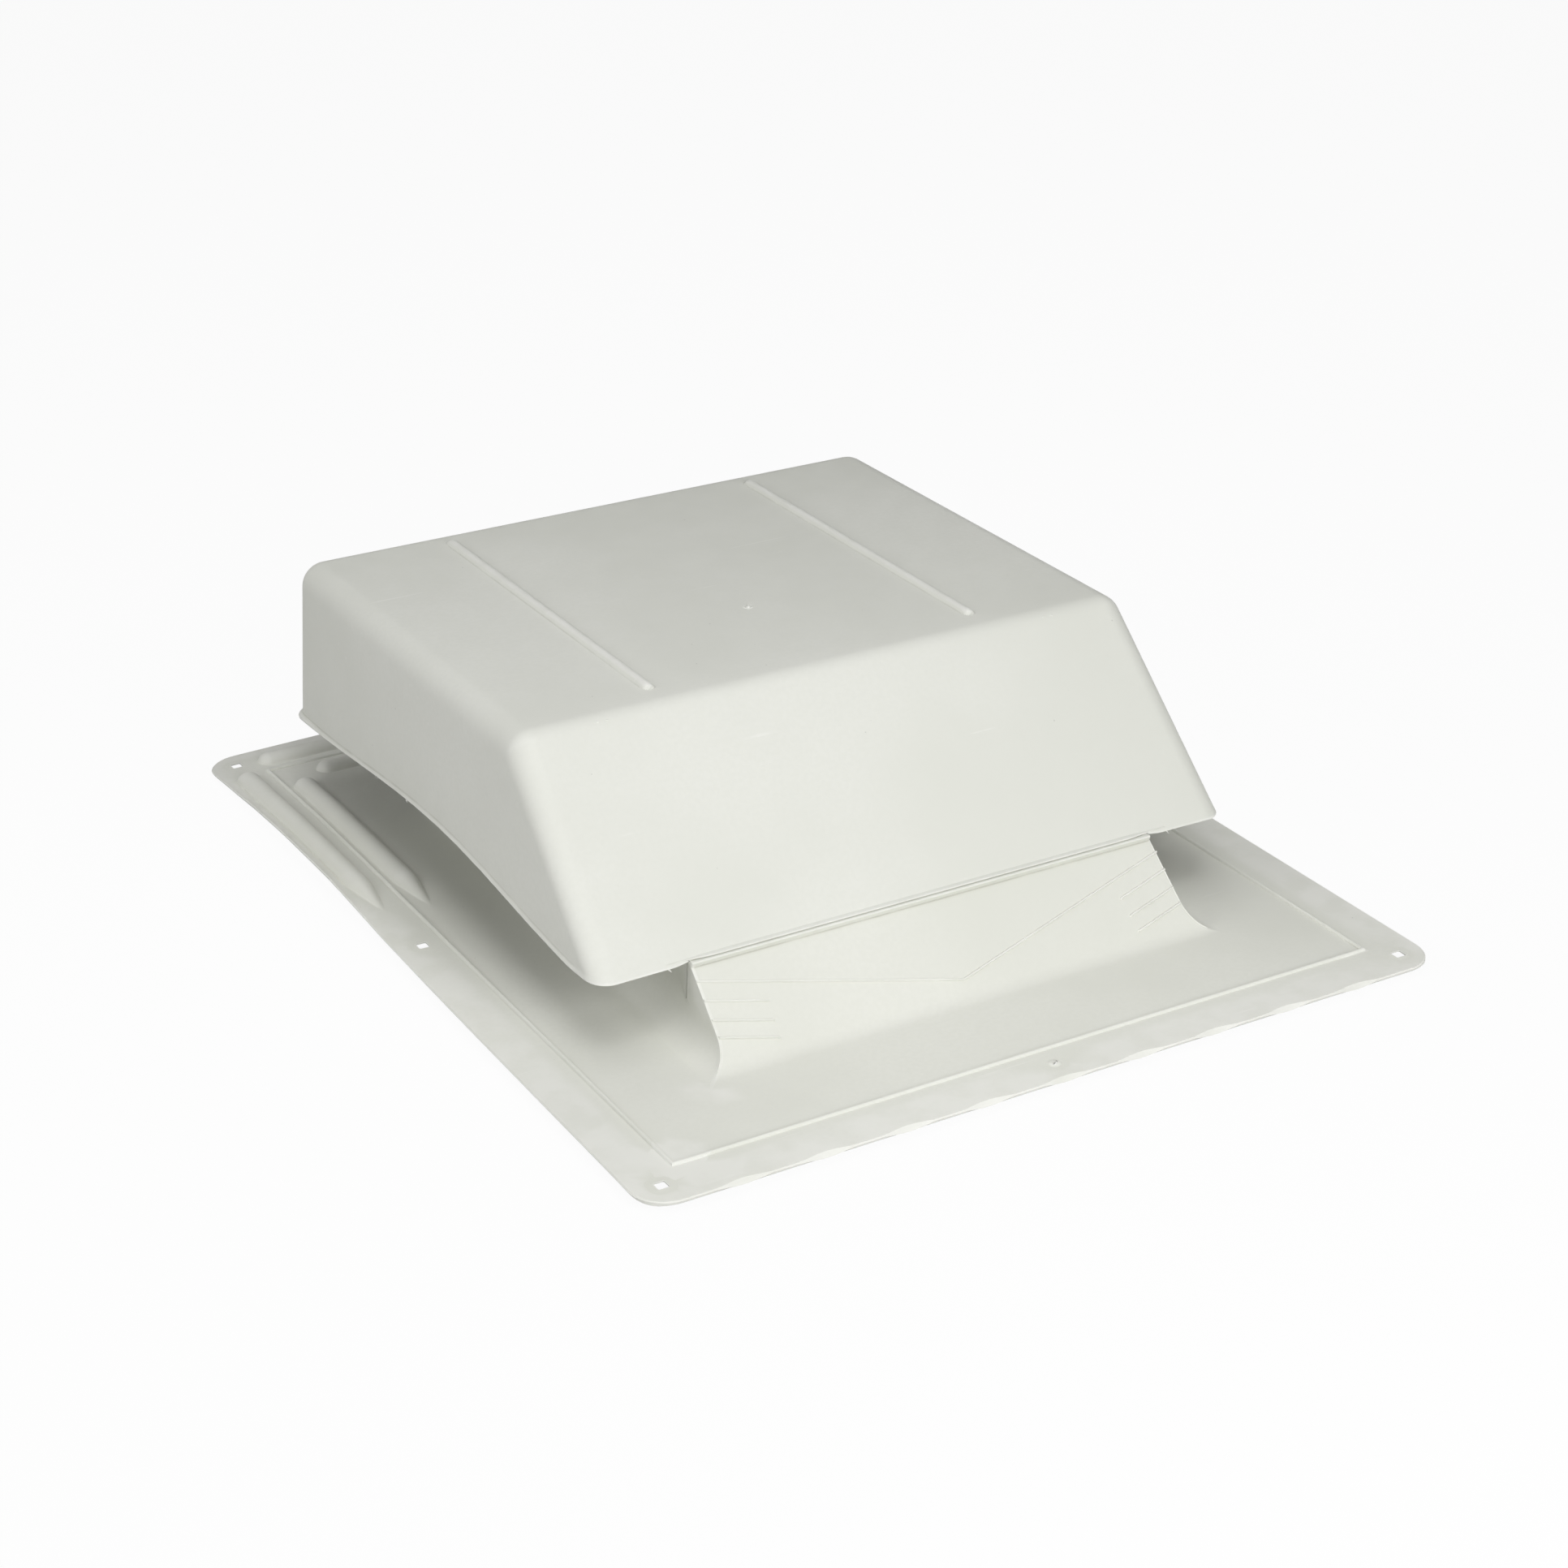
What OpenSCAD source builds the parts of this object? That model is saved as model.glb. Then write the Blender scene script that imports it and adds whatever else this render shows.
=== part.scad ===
// Slant-back static roof vent: a flashing base, a hood, three louvre screens and the hood screws.
// The origin is the middle of the flange underside. +Z is away from the roof, -Y is up the roof.

/* [Flange] */
// Width of the flange across the roof
flange_w = 400; // [360:1:480]
// Length of the flange up and down the roof
flange_l = 488; // [460:1:590]
// Thickness of the flange sheet
flange_t = 2; // [1.6:0.1:3]
// Radius of the flange corners
flange_corner_r = 17; // [8:1:24]
// Distance from the side and front edges to the bead line
bead_inset = 24.5; // [24:0.5:28]
// Distance from the rear edge to the bead line
bead_rear_inset = 28.5; // [26:0.5:34]
// Radius of the half-round bead
bead_r = 1.5; // [1:0.1:1.6]
// Side of a square nail hole
nail_hole = 5; // [3:0.5:6]
// Distance from the flange edges to the middle of the nail holes
nail_inset = 13.5; // [11:0.5:16]

/* [Stiffeners] */
// Radius of the hollow half-round stiffeners, about an axis on the flange underside
stiff_r = 8; // [6:0.5:9]
// Length of the cone at the pointed end
stiff_tip = 40; // [30:1:50]
// Bare flange between a stiffener and the bead
stiff_gap = 1.5; // [1:0.5:3]
// Distance from the middle nail holes back to the tips of the outer side stiffeners
stiff_tip_clear = 42; // [30:1:70]
// How much further forward the inner side stiffeners reach
stiff_tip_step = 5; // [0:1:12]
// Radius of the blunt point of a stiffener
stiff_point_r = 1; // [0.6:0.1:1.8]

/* [Throat] */
// Outside width of the throat
throat_w = 240; // [200:1:248]
// Distance from the flange middle forward to the top of the ramp
throat_front = 133.5; // [120:0.5:150]
// Distance from the flange middle back to the rear throat wall
throat_rear = 125; // [105:1:140]
// Thickness of the throat walls
wall_t = 2; // [1.6:0.1:2.6]
// Slope of the ramp ahead of the throat
ramp_angle = 45; // [40:1:50]
// Hollow radius at the foot of the throat
cove_r = 12.5; // [6:0.5:14]
// Height of the ledge under the front edge of the hood
ledge_z = 36.6; // [32:0.1:44]
// Height of the upright step at the top of the ramp
riser_h = 2.3; // [1.5:0.1:5]
// Gap between the lap wall behind the ledge and the inside of the hood front
lap_gap = 0.5; // [0.3:0.1:1.5]
// Height of the throat rim
rim_z = 52; // [48:0.5:60]
// Width of the grooved rim on the side and rear walls
rim_w = 7; // [6.5:0.5:9]
// Depth of the grooved rim
rim_h = 6; // [5:0.5:8]
// Width of the relief slit near the front of each side wall
slit_w = 0.8; // [0.5:0.1:1.5]
// Length of the relief slit, down from the ledge
slit_l = 18.5; // [10:0.5:22]
// Distance from the step at the top of the ramp back to the relief slit
slit_back = 4.8; // [3.5:0.1:6]

/* [Ramp ribs] */
// Width of the thin ribs on the ramp
rib_w = 1.1; // [0.8:0.1:2]
// Height of the thin ribs on the ramp
rib_h = 0.6; // [0.4:0.1:1.2]
// Distance down the ramp from its top to the outer ends of the long rib
rib_start = 4; // [2:0.5:6]
// Distance down the ramp from one rib to the next
rib_pitch = 8.6; // [6:0.2:9]
// Fall of the ribs towards the middle of the ramp, per millimetre of width
rib_fall = 0.268; // [0.1:0.002:0.28]
// Length of the short ribs, measured across the ramp
rib_short = 28; // [15:1:40]
// Number of short ribs at each side
rib_count = 3; // [0:1:3]

/* [Hood] */
// Height of the hood top above the flange underside
hood_h = 118.5; // [108:0.5:144]
// Width of the hood at its lower edge
hood_w = 327; // [310:1:340]
// Width of the hood just below its top edges
hood_top_w = 321.5; // [306:0.5:336]
// Distance from the flange middle back to the lower rear edge of the hood wall
hood_rear = 202; // [180:1:216]
// Distance from the flange middle forward to the front edge of the hood top
hood_top_front = 55.5; // [40:0.5:64]
// Distance from the flange middle back to the rear edge of the hood top
hood_top_rear = 197; // [176:1:210]
// Thickness of the hood walls
hood_t = 2.2; // [1.6:0.1:2.8]
// Radius of the rounded edges of the hood top
hood_edge_r = 12.5; // [8:0.5:16]
// Radius of the lower hood corners, in plan
hood_corner_r = 10.5; // [7:0.5:16]
// Rise of the arched side skirts at their middle
arch_rise = 11; // [0:0.5:13]
// Length of the arched part of the side skirts
arch_l = 304; // [220:1:310]
// Distance from the flange middle back to the crown of the arch
arch_y = 30; // [24:1:40]
// How far the hem stands out from the side and rear skirts
hem_w = 2.2; // [1:0.1:3]
// Height of the hem
hem_h = 2.4; // [1.2:0.1:4]
// Distance from the front of the hood over which the hem grows to its full height
hem_fade = 34; // [20:1:60]
// How far the front lip stands out over the ledge
lip_w = 2.9; // [2:0.1:3]
// Thickness of the front lip at its edge
lip_t = 1.1; // [0.8:0.1:2]
// Overhang of the front lip past each side of the ramp
lip_over = 9; // [2:0.5:12]
// Distance between the two ribs on the hood top
top_rib_spacing = 169; // [120:1:220]
// Flat length between the rounded front edge and the top ribs
top_rib_front = 12; // [8:0.5:40]
// Flat length between the rounded rear edge and the top ribs
top_rib_rear = 8; // [6:0.5:40]
// Height of the top ribs
top_rib_h = 2; // [1:0.1:2.5]
// Radius of the top ribs
top_rib_r = 3; // [2.6:0.1:4]
// Distance from the flange middle back to the moulding gate mark on the hood top
gate_y = 28.5; // [20:0.5:50]
// Radius of the moulding gate mark
gate_r = 2.2; // [1.5:0.1:3]
// Height of the moulding gate mark
gate_h = 0.6; // [0.3:0.1:1]

/* [Screens] */
// Thickness of the louvre screens
screen_t = 3; // [2.4:0.1:3.2]
// Width of the frame round each screen
screen_frame = 4; // [3:0.5:6]
// Width of an upright bar
bar_w = 2; // [1.6:0.1:3]
// Gap between two bars
bar_gap = 3.2; // [2.4:0.1:5]
// Height of the cross rail at mid height
cross_rail = 2.4; // [1.6:0.1:4]

/* [Fixings] */
// Radius of the posts and bosses that carry the hood
post_r = 6; // [5.5:0.1:7]
// Height of the post tops
post_z = 60; // [56:0.5:66]
// Thickness of the web between a post and the throat wall
post_web = 3; // [2:0.5:5]
// Gap between the rim and the posts
post_gap = 3; // [2:0.5:8]
// Distance from the top of the ramp back to the front posts
post_front = 63.5; // [60:0.5:75]
// Distance from the rear throat wall forward to the rear posts
post_rear = 29; // [24:1:45]
// Diameter of the screw shank
screw_d = 4; // [3:0.1:4.5]
// Length of the screw shank
screw_l = 18; // [14:1:22]
// Diameter of the screw head
screw_head_d = 8; // [6:0.1:8.4]
// Height of the screw head
screw_head_h = 2.8; // [2:0.1:4]
// Thickness of the post under the hood boss
post_cap = 5; // [3:0.5:8]
// Height of the lower ends of the posts above the flange underside
post_lift = 6; // [4:0.5:12]

/* [Hidden] */
$fn = 64;

plastic = "#dfe0d6";
screen_plastic = "#c9cac0";
zinc = "#b8bcc0";

// Clearances between pieces, and how far cuts run past a face or a joined form runs into another
seat_gap = 0.3;
groove_gap = 0.2;
run = 1;
bite = 0.1;
hull_fn = 48;

bead_x = flange_w / 2 - bead_inset;
bead_front_y = -flange_l / 2 + bead_inset;
bead_rear_y = flange_l / 2 - bead_rear_inset;
nail_x = flange_w / 2 - nail_inset;
nail_y = flange_l / 2 - nail_inset;

// Distance from the bead line to the axis of the stiffeners beside it
stiff_step = bead_r + stiff_gap + stiff_r;

ramp_y = -throat_front;
ramp_z = ledge_z - riser_h;
ramp_run = wall_t / sin(ramp_angle);
foot_y = ramp_y - (ramp_z - flange_t) / tan(ramp_angle);
foot_ease = cove_r / 2;
groove_d = rim_h - wall_t;
groove_z = rim_z - groove_d;
slit_y = ramp_y + slit_back;

hood_base_z = ledge_z + seat_gap;
hood_front = throat_front - lip_w - seat_gap;
ceiling_z = hood_h - hood_t;
edge_z = hood_h - hood_edge_r;
front_run = hood_front - hood_top_front + hood_edge_r;
front_rise = edge_z - hood_base_z;
front_slope = atan2(front_rise, front_run) + asin(hood_edge_r / norm([front_run, front_rise]));
side_lean = (hood_w - hood_top_w) / 2 / front_rise;
rear_lean = (hood_rear - hood_top_rear) / front_rise;
// The hood form runs this far below its lower edge before it is trimmed
skirt = 14;
arch_steps = 48;
hem_front_y = hood_corner_r - hood_front;

// The lap wall lies along the inside of the hood front
lap_run = wall_t / sin(front_slope);
lap_y = hood_front_in(ledge_z) + lap_gap / sin(front_slope);
lap_top_y = hood_front_in(rim_z) + lap_gap / sin(front_slope);

screen_x = throat_w / 2 - rim_w / 2;
screen_y = throat_rear - rim_w / 2;
screen_top_z = ceiling_z - seat_gap;
screen_front_y = lap_top_y + lap_run + groove_gap;
groove_w = screen_t + 2 * groove_gap;
guide_t = 1.5;
guide_h = 4;

post_x = throat_w / 2 - rim_w - post_gap - post_r;
post_ys = [ramp_y + post_front, throat_rear - post_rear];
screw_hole_d = screw_d + 2 * seat_gap;
head_hole_d = screw_head_d + 2 * seat_gap;

// Lower edge of the side skirts at a place along the hood
function skirt_z(y) =
    abs(y - arch_y) < arch_l / 2
        ? hood_base_z + arch_rise * pow(cos(180 * (y - arch_y) / arch_l), 2)
        : hood_base_z;

// Inside face of the sloping hood front at a height
function hood_front_in(z) =
    -hood_front + (z - hood_base_z) / tan(front_slope) + hood_t / sin(front_slope);

// Copies a form to the other side of the vent as well
module both_sides() {
    children();
    mirror([1, 0, 0]) children();
}

// Turns an outline of length and height into a solid across the vent
module across(w) {
    rotate([90, 0, 90]) linear_extrude(w, center = true) children();
}

// Turns an outline of width and height into a solid along the vent
module along(l) {
    rotate([90, 0, 0]) linear_extrude(l, center = true) children();
}

module rounded_sheet(w, l, r, t) {
    linear_extrude(t) {
        square([w - 2 * r, l], center = true);
        square([w, l - 2 * r], center = true);
        for (x = [-1, 1], y = [-1, 1]) {
            translate([x * (w / 2 - r), y * (l / 2 - r)]) circle(r);
        }
    }
}

// Hollow fillet in the corner between the flange, to the left, and a wall that rises at a slope
module cove_2d(slope) {
    near = cove_r - bite;
    reach = near * tan(slope / 2);
    difference() {
        polygon([
            [-reach, -flange_t],
            [-reach, near],
            [reach * cos(slope), reach * sin(slope)],
            [reach * cos(slope) + wall_t, 0],
            [0, -flange_t]
        ]);
        translate([-reach, near]) circle(cove_r);
    }
}

// Outside of the throat seen from the side: ramp, step, ledge, lap wall, rim and rear wall
module throat_long_2d() {
    polygon([
        [foot_y - flange_t / tan(ramp_angle), 0],
        [ramp_y, ramp_z],
        [ramp_y, ledge_z],
        [lap_y, ledge_z],
        [lap_top_y, rim_z],
        [throat_rear, rim_z],
        [throat_rear, 0]
    ]);
    translate([foot_y, flange_t]) cove_2d(ramp_angle);
    translate([throat_rear, flange_t]) mirror([1, 0]) cove_2d(90);
}

// Inside of the throat seen from the side, a wall thickness in from the outside
module bore_long_2d() {
    under_z = ledge_z - wall_t;
    in_y = throat_rear - wall_t;
    ramp_in = ramp_y + ramp_run;
    polygon([
        [ramp_in - (ramp_z + run) / tan(ramp_angle), -run],
        [ramp_in + (under_z - ramp_z) / tan(ramp_angle), under_z],
        [lap_y + lap_run + (under_z - ledge_z) / tan(front_slope), under_z],
        [lap_top_y + lap_run + run / tan(front_slope), rim_z + run],
        [in_y, rim_z + run],
        [in_y, foot_ease],
        [in_y + foot_ease, 0],
        [in_y + foot_ease, -run]
    ]);
}

// Outside of the throat seen from the front: two upright walls with hollow feet
module throat_cross_2d() {
    translate([-throat_w / 2, 0]) square([throat_w, rim_z]);
    translate([-throat_w / 2, flange_t]) cove_2d(90);
    translate([throat_w / 2, flange_t]) mirror([1, 0]) cove_2d(90);
}

module bore_cross_2d() {
    in_x = throat_w / 2 - wall_t;
    polygon([
        [-in_x - foot_ease, -run],
        [-in_x - foot_ease, 0],
        [-in_x, foot_ease],
        [-in_x, rim_z + run],
        [in_x, rim_z + run],
        [in_x, foot_ease],
        [in_x + foot_ease, 0],
        [in_x + foot_ease, -run]
    ]);
}

module throat_outside() {
    intersection() {
        across(flange_w) throat_long_2d();
        along(flange_l) throat_cross_2d();
    }
}

module throat_bore() {
    intersection() {
        across(flange_w) bore_long_2d();
        along(flange_l) bore_cross_2d();
    }
}

// Thickened rim that carries the screens, along the sides and the rear
module screen_rim() {
    low_z = rim_z - rim_h;
    intersection() {
        across(throat_w) throat_long_2d();
        difference() {
            translate([-throat_w / 2, -throat_front, low_z])
                cube([throat_w, throat_front + throat_rear, rim_h]);
            translate([-throat_w / 2 + rim_w, -throat_front - run, low_z - run])
                cube([throat_w - 2 * rim_w, throat_front + throat_rear - rim_w + run, rim_h + 2 * run]);
        }
    }
}

module screen_grooves() {
    rear_y = screen_y + groove_w / 2;
    both_sides() {
        translate([screen_x - groove_w / 2, screen_front_y - groove_gap, groove_z])
            cube([groove_w, rear_y - screen_front_y + groove_gap, groove_d + run]);
    }
    translate([-screen_x, screen_y - groove_w / 2, groove_z])
        cube([2 * screen_x, groove_w, groove_d + run]);
}

// Half-round stiffener lying back along +Y from its pointed tip to its round end
module stiffener_form(r, l, tip) {
    translate([0, l, 0]) sphere(r);
    translate([0, tip, 0]) rotate([-90, 0, 0]) cylinder(h = l - tip, r = r);
    translate([0, tip, 0]) rotate([90, 0, 0])
        cylinder(h = tip * (1 - stiff_point_r / r), r1 = r, r2 = stiff_point_r);
}

// Stiffener with two round ends lying along +X
module bar_form(r, l) {
    translate([-l / 2, 0, 0]) rotate([0, 90, 0]) cylinder(h = l, r = r);
    for (x = [-l / 2, l / 2]) {
        translate([x, 0, 0]) sphere(r);
    }
}

// All stiffeners, drawn in from the outside by a wall thickness for the hollows below
module stiffeners(inset) {
    r = stiff_r - inset;
    tip = stiff_tip * r / stiff_r;
    apex_back = (inset - flange_t) * stiff_tip / stiff_r;
    bend = stiff_r + stiff_gap;
    for (line = [-1, 1]) {
        axis_x = bead_x - line * stiff_step;
        axis_y = bead_rear_y - line * stiff_step;
        tip_y = stiff_tip_clear + apex_back - (line > 0 ? stiff_tip_step : 0);
        end_y = axis_y - 2 * bend;
        both_sides() {
            translate([axis_x, tip_y, 0]) stiffener_form(r, end_y - tip_y, tip);
        }
        translate([0, axis_y, 0]) bar_form(r, 2 * (axis_x - 2 * bend));
    }
}

// One side of the bead line, mitred at both ends
module bead_side(l) {
    reach = 2 * bead_r;
    intersection() {
        rotate([0, 90, 0]) cylinder(h = l + 2 * reach, r = bead_r, center = true);
        linear_extrude(2 * reach, center = true) polygon([
            [-l / 2 - reach, -reach],
            [l / 2 + reach, -reach],
            [l / 2 - reach, reach],
            [-l / 2 + reach, reach]
        ]);
    }
}

module bead_line() {
    mid_y = (bead_front_y + bead_rear_y) / 2;
    translate([0, bead_front_y, flange_t]) bead_side(2 * bead_x);
    translate([0, bead_rear_y, flange_t]) rotate([0, 0, 180]) bead_side(2 * bead_x);
    translate([bead_x, mid_y, flange_t]) rotate([0, 0, 90]) bead_side(bead_rear_y - bead_front_y);
    translate([-bead_x, mid_y, flange_t]) rotate([0, 0, -90]) bead_side(bead_rear_y - bead_front_y);
}

// Thin rib that falls from the edge of the ramp towards its middle
module ramp_rib(start, reach) {
    edge = throat_w / 2;
    fall = rib_fall * reach;
    polygon([
        [-edge, -start],
        [-edge + reach, -start - fall],
        [-edge + reach, -start - fall - rib_w],
        [-edge, -start - rib_w]
    ]);
}

module ramp_ribs() {
    translate([0, ramp_y, ramp_z]) rotate([ramp_angle, 0, 0]) {
        linear_extrude(2 * rib_h, center = true) {
            for (side = [0, 1]) mirror([side, 0]) {
                ramp_rib(rib_start, throat_w / 2);
                for (i = [1:rib_count]) {
                    ramp_rib(rib_start + i * rib_pitch, rib_short);
                }
            }
        }
    }
}

module posts() {
    both_sides() for (y = post_ys) {
        translate([post_x, y, post_lift]) cylinder(h = post_z - post_lift, r = post_r);
        translate([post_x, y - post_web / 2, post_lift])
            cube([throat_w / 2 - wall_t / 2 - post_x, post_web, rim_z - rim_h / 2 - post_lift]);
    }
}

module post_holes() {
    seat_z = post_z - post_cap;
    both_sides() for (y = post_ys) {
        translate([post_x, y, post_lift - run]) cylinder(h = seat_z - post_lift + run, d = head_hole_d);
        translate([post_x, y, seat_z - run]) cylinder(h = post_cap + 2 * run, d = screw_hole_d);
    }
}

// Nail holes at the corners, the middle of the sides and the middle of the front
module nail_holes() {
    places = [[-1, -1], [0, -1], [1, -1], [-1, 0], [1, 0], [-1, 1], [1, 1]];
    for (p = places) {
        translate([p[0] * nail_x, p[1] * nail_y, flange_t / 2])
            cube([nail_hole, nail_hole, flange_t + 2 * run], center = true);
    }
}

module relief_slits() {
    both_sides() {
        translate([throat_w / 2 - wall_t, slit_y - slit_w / 2, ledge_z - slit_l])
            cube([wall_t + run, slit_w, slit_l + run]);
    }
}

// Flange, ramp and throat in one moulding
module base_flashing() {
    color(plastic) difference() {
        union() {
            difference() {
                union() {
                    rounded_sheet(flange_w, flange_l, flange_corner_r, flange_t);
                    throat_outside();
                    intersection() {
                        stiffeners(0);
                        translate([-flange_w / 2, -flange_l / 2, 0]) cube([flange_w, flange_l, rim_z]);
                    }
                }
                throat_bore();
                stiffeners(flange_t);
            }
            screen_rim();
            posts();
            bead_line();
            ramp_ribs();
        }
        screen_grooves();
        post_holes();
        nail_holes();
        relief_slits();
    }
}

// Form of the hood, grown or shrunk from its outside face
module hood_form(grow) {
    side_x = hood_w / 2 + skirt * side_lean - hood_corner_r;
    top_x = hood_top_w / 2 - hood_edge_r;
    top_ys = [-hood_top_front + hood_edge_r, hood_top_rear - hood_edge_r];
    slope_shift = grow * (1 / sin(front_slope) - 1);
    low_ys = [
        -hood_front - skirt / tan(front_slope) + hood_corner_r - slope_shift,
        hood_rear + skirt * rear_lean - hood_corner_r
    ];
    hull() {
        for (x = [-1, 1], i = [0, 1]) {
            translate([x * top_x, top_ys[i], edge_z]) sphere(hood_edge_r + grow, $fn = hull_fn);
            translate([x * side_x, low_ys[i], hood_base_z - skirt - run])
                cylinder(h = run, r = hood_corner_r + grow, $fn = hull_fn);
        }
    }
}

// Side outline of everything below the lower edge of the hood
module below_skirt_2d() {
    far = flange_l;
    polygon([
        [-far, -far],
        [-far, hood_base_z],
        for (i = [0:arch_steps]) let (y = arch_y + arch_l * (i / arch_steps - 0.5)) [y, skirt_z(y)],
        [far, hood_base_z],
        [far, -far]
    ]);
}

// Side outline of the hem along the side and rear skirts
module hem_2d() {
    rear = flange_l;
    step = (arch_y + arch_l / 2 - hem_front_y) / arch_steps;
    ys = concat([for (i = [0:arch_steps]) hem_front_y + i * step], [rear]);
    tops = [for (y = ys) skirt_z(y) + hem_h * min(1, (y + hood_front) / hem_fade)];
    polygon(concat(
        [for (y = ys) [y, skirt_z(y) - run]],
        [for (i = [arch_steps + 1:-1:0]) [ys[i], tops[i]]]
    ));
}

// Lip along the front edge, over the ledge of the throat
module front_lip() {
    translate([-throat_w / 2 - lip_over, -hood_front - lip_w, hood_base_z])
        cube([throat_w + 2 * lip_over, lip_w + hood_t, lip_t]);
}

module top_ribs() {
    front_y = -hood_top_front + hood_edge_r + top_rib_front;
    rear_y = hood_top_rear - hood_edge_r - top_rib_rear;
    both_sides() {
        translate([top_rib_spacing / 2, (front_y + rear_y) / 2, hood_h + top_rib_h - top_rib_r])
            rotate([0, 0, 90]) bar_form(top_rib_r, rear_y - front_y);
    }
}

module gate_mark() {
    translate([0, gate_y, hood_h - bite]) cylinder(h = gate_h + bite, r = gate_r);
}

// Rib pairs under the hood top that hold the upper rails of the screens
module screen_guides() {
    off = groove_w / 2;
    low_z = ceiling_z - guide_h;
    wide = groove_w + 2 * guide_t;
    front_y = hood_front_in(screen_top_z) + hood_edge_r;
    rear_y = screen_y + off + guide_t;
    difference() {
        union() {
            both_sides() {
                translate([screen_x - wide / 2, front_y, low_z])
                    cube([wide, rear_y - front_y, guide_h + hood_t / 2]);
            }
            translate([-screen_x, screen_y - wide / 2, low_z])
                cube([2 * screen_x, wide, guide_h + hood_t / 2]);
        }
        both_sides() {
            translate([screen_x - off, front_y - run, low_z - run])
                cube([groove_w, screen_y + off - front_y + run, guide_h + run]);
        }
        translate([-screen_x, screen_y - off, low_z - run])
            cube([2 * screen_x, groove_w, guide_h + run]);
    }
}

module hood_bosses() {
    intersection() {
        both_sides() for (y = post_ys) {
            translate([post_x, y, post_z]) cylinder(h = hood_h - post_z, r = post_r);
        }
        hood_form(-hood_t / 2);
    }
}

module boss_holes() {
    depth = screw_l - post_cap + 2 * run;
    both_sides() for (y = post_ys) {
        translate([post_x, y, post_z - run]) cylinder(h = depth + run, d = screw_hole_d);
    }
}

// Hood in one moulding, open below
module hood() {
    color(plastic) difference() {
        union() {
            difference() {
                union() {
                    hood_form(0);
                    intersection() {
                        hood_form(hem_w);
                        across(2 * hood_w) hem_2d();
                    }
                    front_lip();
                    top_ribs();
                    gate_mark();
                }
                hood_form(-hood_t);
                across(2 * hood_w) below_skirt_2d();
            }
            screen_guides();
            hood_bosses();
        }
        boss_holes();
    }
}

// Upright slots across a screen, in two rows with a cross rail between them
module slots_2d(l, low, high) {
    pitch = bar_w + bar_gap;
    count = floor((l + bar_w) / pitch);
    mid = (low + high) / 2;
    row_h = (high - low - cross_rail) / 2;
    for (i = [0:count - 1], z = [low, mid + cross_rail / 2]) {
        translate([(i - (count - 1) / 2) * pitch - bar_gap / 2, z]) square([bar_gap, row_h]);
    }
}

// Outline of a side screen, drawn in by a margin; its front follows the slope of the hood
module side_screen_2d(margin) {
    rear = screen_y + screen_t / 2 - margin;
    low = groove_z + margin;
    high = screen_top_z - margin;
    front = screen_front_y + margin;
    slope_off = (seat_gap + margin) / sin(front_slope);
    corner = hood_edge_r * tan(front_slope / 2);
    front_z = hood_base_z + (front - hood_front_in(hood_base_z) - slope_off) * tan(front_slope);
    high_y = hood_front_in(high) + slope_off;
    polygon([
        [front, low],
        [rear, low],
        [rear, high],
        [high_y + corner, high],
        [high_y - corner * cos(front_slope), high - corner * sin(front_slope)],
        [front, front_z]
    ]);
}

module side_screen() {
    rear = screen_y + screen_t / 2;
    across(screen_t) difference() {
        side_screen_2d(0);
        intersection() {
            side_screen_2d(screen_frame);
            translate([(screen_front_y + rear) / 2, 0])
                slots_2d(
                    rear - screen_front_y - 2 * screen_frame,
                    groove_z + screen_frame,
                    screen_top_z - screen_frame
                );
        }
    }
}

module left_screen() {
    color(screen_plastic) translate([-screen_x, 0, 0]) side_screen();
}

module right_screen() {
    color(screen_plastic) translate([screen_x, 0, 0]) side_screen();
}

// Rear screen, between the two side screens
module rear_screen() {
    w = 2 * (screen_x - screen_t / 2 - groove_gap);
    h = screen_top_z - groove_z;
    color(screen_plastic) translate([0, screen_y, 0]) along(screen_t) difference() {
        translate([-w / 2, groove_z]) square([w, h]);
        slots_2d(w - 2 * screen_frame, groove_z + screen_frame, screen_top_z - screen_frame);
    }
}

// Self-tapping screws, up through the posts into the hood
module hood_screws() {
    color(zinc) both_sides() for (y = post_ys) {
        translate([post_x, y, post_z - post_cap]) {
            cylinder(h = screw_l, d = screw_d);
            translate([0, 0, -screw_head_h]) cylinder(h = screw_head_h, d = screw_head_d);
        }
    }
}

base_flashing();
hood();
left_screen();
right_screen();
rear_screen();
hood_screws();
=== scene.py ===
import math

import bmesh
import bpy
import numpy as np
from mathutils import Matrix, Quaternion, Vector
from mathutils.geometry import delaunay_2d_cdt


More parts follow.
